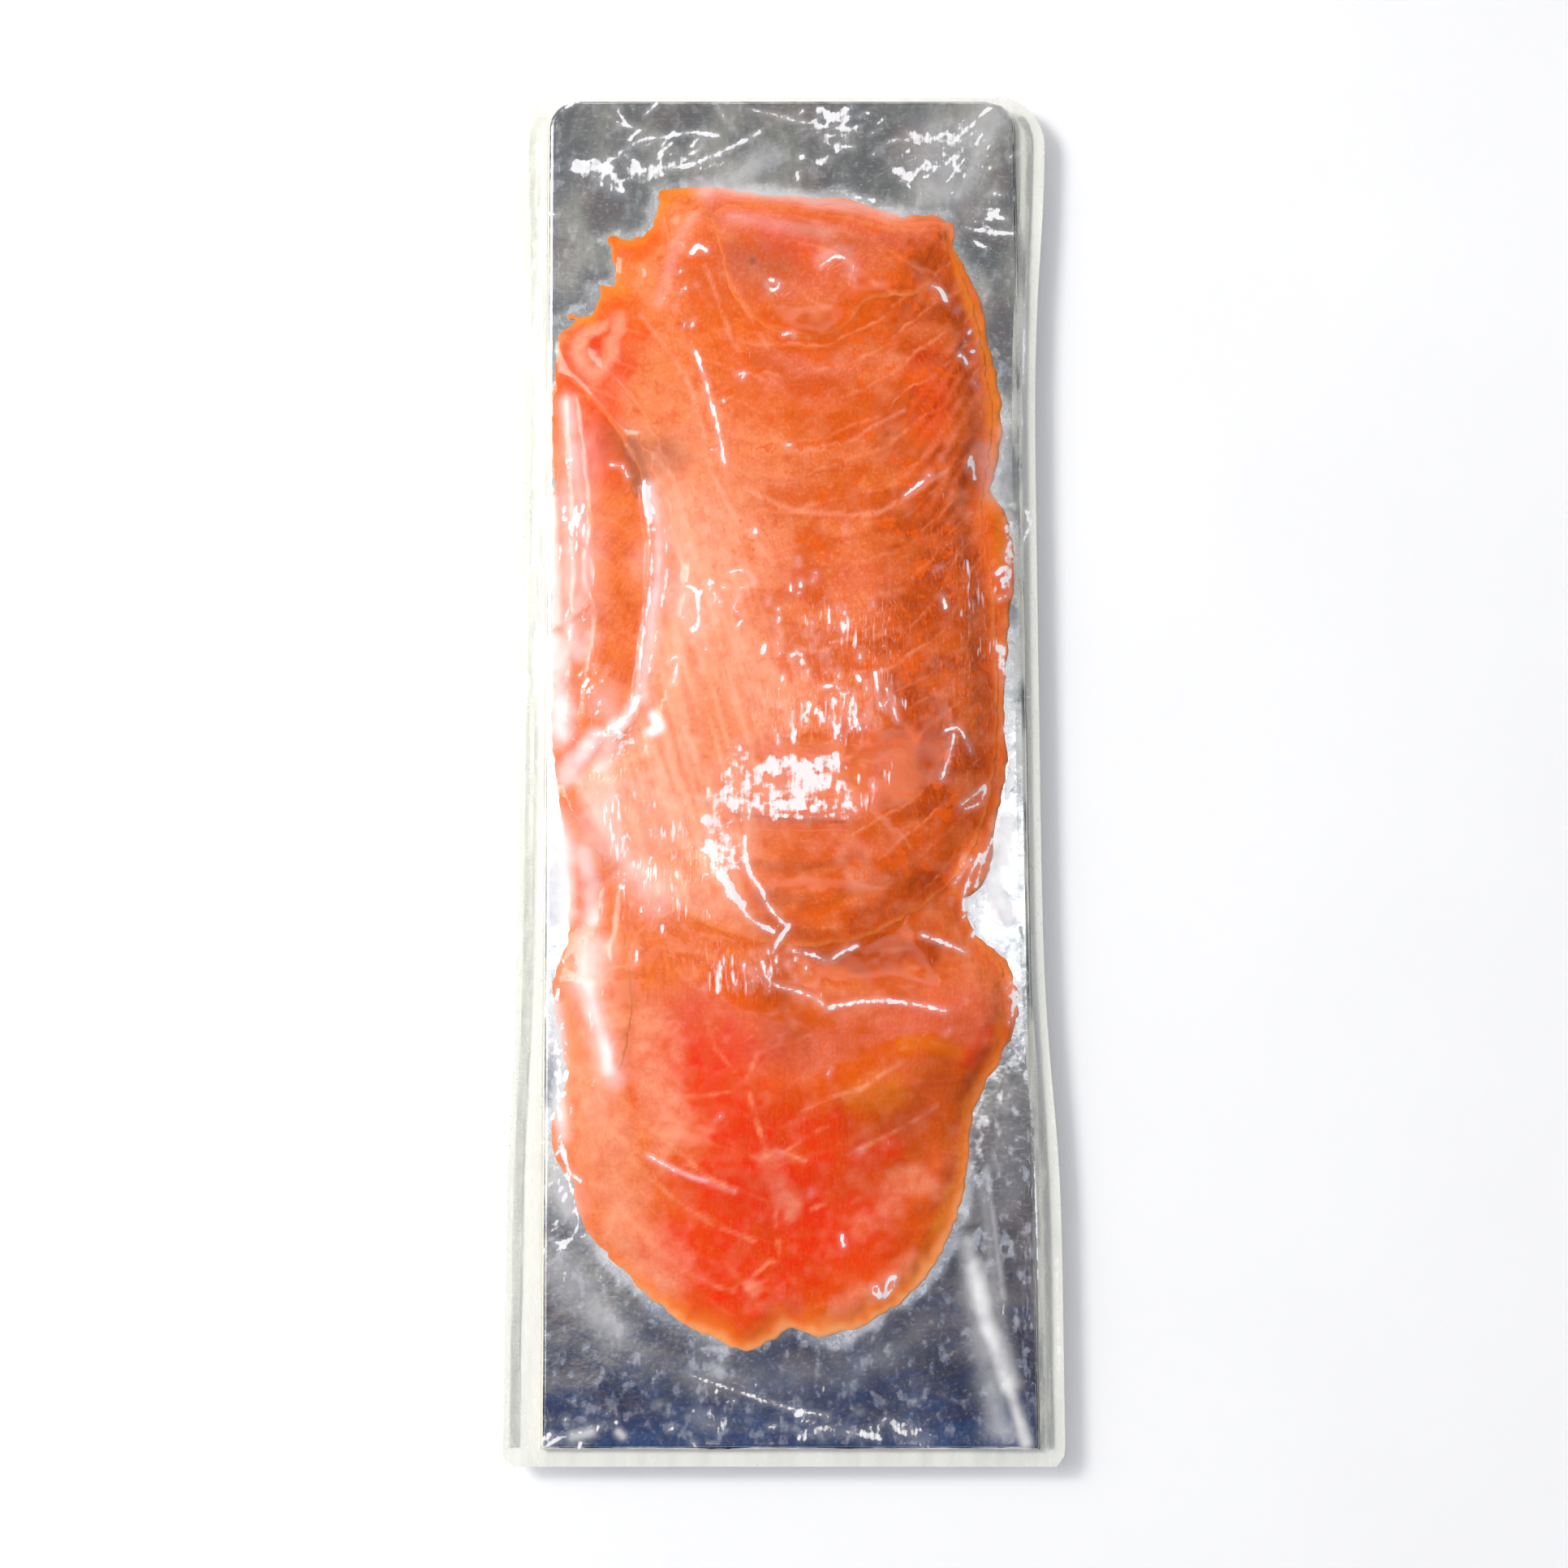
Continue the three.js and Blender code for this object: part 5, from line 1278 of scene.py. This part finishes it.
# The film rests on whatever stands highest, and spans the hollows between
from_card_rim = np.minimum(
    np.minimum(FIELD_X - card_edge(FIELD_Y, -1), card_edge(FIELD_Y, 1) - FIELD_X),
    np.minimum(FIELD_Y - card_bottom, card_top - FIELD_Y))
card_rise = (CARD_TOP + LEAST_GAP - SEAL_THICKNESS) * rise(from_card_rim, -FILM_SLOPE, 0)
contents = np.where(fish_depth > 0, lie + np.sum(layers, axis=0), 0)
contents = np.maximum(contents, SEAL_THICKNESS - FILM_CLEARANCE + card_rise)
film_field = blur(grow(contents, SPAN_ROUNDS), SOFTEN_ROUNDS) + FILM_CLEARANCE
film_field = film_field + on_fish * (1 - FLESH_FOLD_SHARE) * large_folds

crease_field = np.zeros(FIELD_X.shape)
crease_wobble = layered_noise((0.5, 3, 3, 53), (0.3, 1.3, 1.3, 54), base=1)
for height, reach, line in CREASES + CARD_CREASES:
    away = line_distance(smooth_line(line), 4 * reach) / reach
    crease = height * np.exp(-(away / CREASE_NARROW) ** 2) * crease_wobble
    crease_field = np.maximum(crease_field, crease)
slack_amount = LEAST_SLACK + (1 - LEAST_SLACK) * rise(soft_noise(14, 22, 55), -0.2, 0.5)
slack = layered_noise((0.07, 5, 8, 51), (0.035, 2.2, 3.4, 52), (0.012, 1.0, 1.4, 56))
slack *= slack_amount * rise(from_card_rim, -2, 2)
film_field = np.maximum(film_field + slack, contents + LEAST_GAP) + CREASE_LOW * crease_field
wrinkles = layered_noise((0.10, 1.5, 9, 67), (0.06, 0.9, 3, 68), (0.05, 2.5, 2.0, 69))
film_field += np.maximum(wrinkles, -DEEPEST_WRINKLE) * rise(-from_card_rim, 0, 1.5)
film_field = np.minimum(film_field, pack_height - TOP_GAP)


def scattered():
    """Short bent strokes at random places, as the scatter list says."""
    random = np.random.default_rng(SCATTER_SEED)
    for cx, cy, reach_x, reach_y, count, heading, spread, length, strength in SCATTER:
        for _ in range(count):
            x, y = cx + reach_x * random.normal(0, 0.5), cy + reach_y * random.normal(0, 0.5)
            turn = math.radians(heading + spread * random.normal(0, 0.5))
            half = length * random.uniform(0.3, 1.1) / 2
            dx, dy, bend = half * math.cos(turn), half * math.sin(turn), random.normal(0, 0.12)
            yield (strength * random.uniform(0.75, 1.15), random.uniform(0.2, 0.42),
                   [(x - dx, y - dy), (x - bend * dy, y + bend * dx), (x + dx, y + dy)])


MARKS["glint"].extend(scattered())
marks = {kind: np.zeros(FIELD_X.shape) for kind in MARKS}
uneven = layered_noise((0.35, 4, 6, 57), (0.2, 1.4, 1.8, 58))
wander = layered_noise((0.55, 2.2, 2.2, 59), (0.4, 1.1, 1.1, 60))
fading = layered_noise((0.4, 3.4, 3.4, 65), (0.2, 1.4, 1.4, 66), base=1)
for kind, rows in MARKS.items():
    for strength, width, line in rows:
        away = line_distance(smooth_line(line), MARK_REACH * width + MARK_MARGIN)
        if kind == "painted_sheen":
            spread = np.maximum(away / width + 0.5 * uneven, 0)
            shape = strength * np.exp(-1.1 * spread ** 2) * fading ** 0.5
        else:
            shape = strength * (1 - rise(away / width + wander, 0.3, 1.8)) * fading
        if kind == "glint":
            round_it = SHEEN_ROUND_GLINT * strength * np.exp(-(away / (0.5 + width)) ** 2)
            marks["painted_sheen"] = np.maximum(marks["painted_sheen"], round_it)
        marks[kind] = np.maximum(marks[kind], shape)


def film_material():
    """Clear and mirror-like, with painted white highlights where the marks of light say so."""
    material, tree = new_material("clear_film")
    place = surface_place(tree)
    ridges = cloudy(tree, stretched(tree, place, (1.0, 0.12, 1.0)), 1300.0, 1.0)
    lumps = cloudy(tree, place, 800.0, 3.0)
    height = sums(tree, "ADD", times(tree, ridges, kept(tree, "comb")),
                  times(tree, lumps, kept(tree, "crinkle")))
    bump = put(tree, "ShaderNodeBump", {
        "Height": height, "Strength": 1.0, "Distance": 0.0005}).outputs[0]
    glossy = put(tree, "ShaderNodeBsdfPrincipled", {
        "Base Color": (1.0, 1.0, 1.0, 1.0), "Metallic": 1.0, "Roughness": 0.05, "Normal": bump})
    clear = put(tree, "ShaderNodeBsdfTransparent", {"Color": (0.985, 0.99, 0.99, 1.0)})
    mirror = put(tree, "ShaderNodeFresnel", {"IOR": 1.23}).outputs[0]
    unshaded = sums(tree, "SUBTRACT", 1.0, put(tree, "ShaderNodeLightPath").outputs["Is Shadow Ray"])
    thin = put(tree, "ShaderNodeMixShader", {
        0: times(tree, mirror, unshaded), 1: clear.outputs[0], 2: glossy.outputs[0]})
    # white for the painted highlights, sheens and glints
    white_shader = put(tree, "ShaderNodeBsdfPrincipled", {
        "Base Color": (0.97, 0.96, 0.96, 1.0), "Roughness": 0.35})

    def broken(kind, noise, spread, low, high):
        centred = sums(tree, "SUBTRACT", noise, 0.5)
        return step(tree, sums(tree, "MULTIPLY_ADD", centred, spread, kept(tree, kind)), low, high)

    drawn_lumps = sums(tree, "MULTIPLY_ADD", ridges, 0.45, times(tree, lumps, 0.55))
    white = sums(tree, "MAXIMUM", broken("glint", drawn_lumps, 1.6, 0.36, 0.62),
                 broken("painted_dashes", ridges, 1.7, 0.52, 0.80))
    thin_ridges = sums(tree, "ABSOLUTE", sums(tree, "SUBTRACT", ridges, 0.5))
    hair = times(tree, step(tree, thin_ridges, 0.016, 0.0), kept(tree, "hair"))
    white = sums(tree, "MAXIMUM", times(tree, white, 0.9), hair)
    white = sums(tree, "MAXIMUM", white, kept(tree, "painted_sheen"))
    return finish_material(material, put(tree, "ShaderNodeMixShader", {
        0: times(tree, white, unshaded), 1: thin.outputs[0], 2: white_shader.outputs[0]}))


def film_marks(x, y):
    """What the film material reads at each place: ridges, crumples, painted hairlines and painted marks of
    light.
    """
    comb = LEAST_COMB * np.ones(x.shape)
    for *patch, strength in COMBS:
        comb = np.maximum(comb, strength * zone(x, y, *patch))
    hair = HAIR_ALL + HAIR_COMB * np.clip(comb - LEAST_COMB, 0, 1)
    hair = hair + HAIR_SIDES * rise(np.abs(x), 46, 50)
    hair *= np.clip(0.6 + 0.8 * sample(slack_amount, x, y) * sample(fading, x, y), 0, 1.4)
    crinkle = CRINKLE_ALL + CRINKLE_CREASE * zone(x, y, 0, -6.5, 16, 7.5, power=6)
    along_fold = zone(x + 0.35 * (y + 24), y, -9, -24, 4.5, 12)
    crinkle = np.maximum(crinkle, CRINKLE_FOLD * along_fold)
    found = {"comb": comb, "crinkle": crinkle, "hair": hair}
    for kind, field in marks.items():
        found[kind] = sample(field, x, y)
    return found


def build_film():
    rows = int(pack_length / FILM_PITCH) + 1
    columns = int(pack_width / FILM_PITCH) + 1
    x, y = sheet_grid(-pack_length / 2, pack_length / 2, rows, columns, pack_edge)
    z = sample(film_field, x, y)
    slope_y, slope_x = np.gradient(film_field, FIELD_PITCH)
    normal = np.stack([-sample(slope_x, x, y), -sample(slope_y, x, y), np.ones(x.shape)], axis=2)
    normal /= np.linalg.norm(normal, axis=2, keepdims=True)
    found = film_marks(x, y)
    clear = film_material()
    for part in range(FILM_PARTS):
        first = part * (rows - 1) // FILM_PARTS
        last = (part + 1) * (rows - 1) // FILM_PARTS + 1
        film = make_piece(f"clear_film_{part + 1}", listed(x, y, z)[first * columns:last * columns],
                          sheet_faces(last - first, columns), [clear])
        film.data.normals_split_custom_set_from_vertices(normal[first:last].reshape(-1, 3).tolist())
        for name, values in found.items():
            store(film, name, values[first:last])
        if part == 0:
            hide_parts("bag")


build_film()

# ------------------------------------------------------------------ back sheet and side welds
# The back film lies flat under the card. It is welded to the front sheet in a band with fine
# cross ribs along each long side, where the two films turn from clear to milky grey.

BACK_ROWS, BACK_COLUMNS = 146, 30
BACK_HEIGHT, BACK_WAVE = 0.06, 0.03
RIB_PITCH = 0.46
RIB_HEIGHT = 0.05
RIB_STEPS = 4
WELD_WIDTH = 2.2
WELD_COLUMNS = 5
WELD_ENDS = 4
WELD_LIFT = 0.02


def milky_film_material(name, colour, cover, rough, patchy_from):
    material, tree = new_material(name)
    folds = cloudy(tree, stretched(tree, surface_place(tree), (1.0, 0.05, 1.0)), 520.0, 3.0)
    bump = put(tree, "ShaderNodeBump", {
        "Height": folds, "Strength": 0.5, "Distance": 0.0003}).outputs[0]
    lighter = tuple(min(1.0, 1.07 * c) for c in colour[:3]) + (1.0,)
    streaks = mottle(tree, 300, (1, 0.06, 1), detail=3, low=0.35, high=0.65)
    tone = blend_colour(tree, streaks, colour, lighter)
    patches = mottle(tree, 260, (1, 0.25, 1), detail=5, low=patchy_from, high=0.6)
    white_shader = put(tree, "ShaderNodeBsdfPrincipled", {
        "Base Color": tone, "Roughness": rough, "Normal": bump})
    clear = put(tree, "ShaderNodeBsdfTransparent", {"Color": (0.97, 0.98, 0.97, 1.0)})
    mirror = put(tree, "ShaderNodeFresnel", {"IOR": 1.5, "Normal": bump}).outputs[0]
    return finish_material(material, put(tree, "ShaderNodeMixShader", {
        0: sums(tree, "MULTIPLY_ADD", patches, cover, mirror, clamp=True),
        1: clear.outputs[0], 2: white_shader.outputs[0]}))


def build_back():
    x, y = sheet_grid(-pack_length / 2, pack_length / 2, BACK_ROWS, BACK_COLUMNS, pack_edge)
    z = BACK_HEIGHT + BACK_WAVE * sample(soft_noise(12, 18, 61), x, y)
    make_piece("back_film", listed(x, y, z), sheet_faces(BACK_ROWS, BACK_COLUMNS, flip=True),
               [milky_film_material("back_film", paint(240, 239, 230), 0.86, 0.3, -1.0)])


def build_weld(name, side, from_edge):
    half = pack_length / 2 - WELD_ENDS
    rows = int(2 * half / RIB_PITCH) * RIB_STEPS + 1
    y = np.linspace(-half, half, rows)[:, None]
    ridge = 0.5 - 0.5 * np.cos(2 * math.pi * np.arange(rows)[:, None] / RIB_STEPS)
    across = np.linspace(0, 1, WELD_COLUMNS)
    x = pack_edge(y, side) - side * from_edge - side * WELD_WIDTH * across
    z = sample(film_field, x, y) + WELD_LIFT + RIB_HEIGHT * ridge * np.sin(math.pi * across) ** 0.5
    make_piece(name, listed(x, y, z), sheet_faces(rows, WELD_COLUMNS, flip=side > 0),
               [milky_film_material(name, paint(238, 238, 230), 0.4, 0.25, 0.38)])


build_back()
build_weld("weld_left", -1, 0.9)
build_weld("weld_right", 1, 2.9)

# ------------------------------------------------------------------ floor, lights and camera
# A plain white table in a light room, with a window and a pale wall above on the left,
# and the camera looking almost straight down.

TABLE_HEIGHT = -0.005
TABLE_REACH = 4.0
TABLE_CORNERS = [(-1, -1), (1, -1), (1, 1), (-1, 1)]

HORIZON = (0.52, 0.51, 0.50, 1)
# How far up the ceiling begins and covers all
CEILING_LOW, CEILING_HIGH = 0.5, 0.86
# Bright soft parts of the ceiling: glow, where it starts and is full across, then low and high ends
GLOWS = [
    ((1.05, 1.03, 1.01), (0.06, -0.13), (-0.10, 0.06), (0.42, 0.10)),
    ((5.5, 5.5, 5.5), (0.45, 0.25), (0.060, 0.088), (0.150, 0.122)),
]
# Ceiling brightness from behind the camera to in front of it
CEILING = [
    (-0.12, (0.05, 0.11, 0.30)), (-0.085, (0.06, 0.10, 0.24)), (-0.05, (0.17, 0.145, 0.17)),
    (0.0, (0.21, 0.19, 0.20)), (0.06, (0.26, 0.24, 0.24)), (0.16, (0.42, 0.42, 0.41)),
    (0.28, (0.44, 0.44, 0.42)), (0.40, (0.42, 0.41, 0.38)),
]
CEILING_FROM, CEILING_SPAN = -0.16, 0.6

# Two soft lights on the left: name, place, size, power
DAYLIGHT = (1.0, 0.99, 0.97)
PANELS = [
    ("left_window", (-0.95, 0.45, 1.0), 0.4, 12.0),
    ("left_wall", (-1.3, 0.5, 1.2), 1.4, 9.0),
]

CAMERA_TILT = math.radians(8)
CAMERA_DISTANCE = 577 * MM
CAMERA_AIM_Y = -5.4 * MM
FRAME_PIXELS = 1932
FRAME_SCALE = 5.88 / MM
SENSOR = 36.0


def build_floor():
    material, tree = new_material("white_table")
    grain = mottle(tree, 14, detail=2, low=0.3, high=0.7)
    finish_material(material, put(tree, "ShaderNodeBsdfPrincipled", {
        "Base Color": blend_colour(tree, grain, (0.93, 0.93, 0.93, 1), (0.95, 0.95, 0.95, 1)),
        "Roughness": 0.9, "Specular IOR Level": 0.0,
        "Emission Color": (1, 1, 1, 1), "Emission Strength": 0.06}))
    mesh = bpy.data.meshes.new("table")
    corners = [(TABLE_REACH * x, TABLE_REACH * y, TABLE_HEIGHT) for x, y in TABLE_CORNERS]
    mesh.from_pydata(corners, [], [(0, 1, 2, 3)])
    mesh.materials.append(material)
    floor = bpy.data.objects.new("table", mesh)
    bpy.context.scene.collection.objects.link(floor)


def build_sky():
    """Room light: even white from the sides, and a ceiling that darkens to blue behind the camera."""
    world = bpy.data.worlds.new("room")
    bpy.context.scene.world = world
    world.use_nodes = True
    tree = world.node_tree
    tree.nodes.clear()
    toward = put(tree, "ShaderNodeTexCoord").outputs["Generated"]
    parts = put(tree, "ShaderNodeSeparateXYZ", {0: toward}).outputs
    ramp = put(tree, "ShaderNodeValToRGB", {
        0: step(tree, parts["Y"], CEILING_FROM, CEILING_FROM + CEILING_SPAN)})
    stops = ramp.color_ramp.elements
    while len(stops) < len(CEILING):
        stops.new(1.0)
    for stop, (at, colour) in zip(stops, CEILING):
        stop.position = (at - CEILING_FROM) / CEILING_SPAN
        stop.color = (*colour, 1)
    up = step(tree, parts["Z"], CEILING_LOW, CEILING_HIGH, kind="SMOOTHSTEP")
    colour = blend_colour(tree, up, HORIZON, ramp.outputs[0])
    for glow, along_x, low_y, high_y in GLOWS:
        mask = up
        for axis, (start, end) in (("X", along_x), ("Y", low_y), ("Y", high_y)):
            mask = times(tree, mask, step(tree, parts[axis], start, end, kind="SMOOTHSTEP"))
        colour = blend_colour(tree, mask, colour, (*glow, 1))
    light = put(tree, "ShaderNodeBackground", {"Color": colour, "Strength": 1.0})
    put(tree, "ShaderNodeOutputWorld", {"Surface": light.outputs[0]})


def add_panel(name, place, size, power):
    """A square area light that faces the pack."""
    data = bpy.data.lights.new(name, "AREA")
    data.shape = "RECTANGLE"
    data.size = data.size_y = size
    data.energy = power
    data.color = DAYLIGHT
    lamp = bpy.data.objects.new(name, data)
    lamp.location = place
    lamp.rotation_mode = "QUATERNION"
    lamp.rotation_quaternion = (-Vector(place)).to_track_quat("-Z", "Y")
    bpy.context.scene.collection.objects.link(lamp)


def build_camera():
    data = bpy.data.cameras.new("camera")
    data.sensor_width = SENSOR
    data.lens = FRAME_SCALE * CAMERA_DISTANCE / FRAME_PIXELS * SENSOR
    camera = bpy.data.objects.new("camera", data)
    camera.location = (0, CAMERA_AIM_Y - CAMERA_DISTANCE * math.sin(CAMERA_TILT),
                       CAMERA_DISTANCE * math.cos(CAMERA_TILT))
    camera.rotation_euler = (CAMERA_TILT, 0, 0)
    bpy.context.scene.collection.objects.link(camera)
    bpy.context.scene.camera = camera


build_floor()
build_sky()
for panel in PANELS:
    add_panel(*panel)
build_camera()
bpy.context.scene.view_settings.view_transform = "Standard"
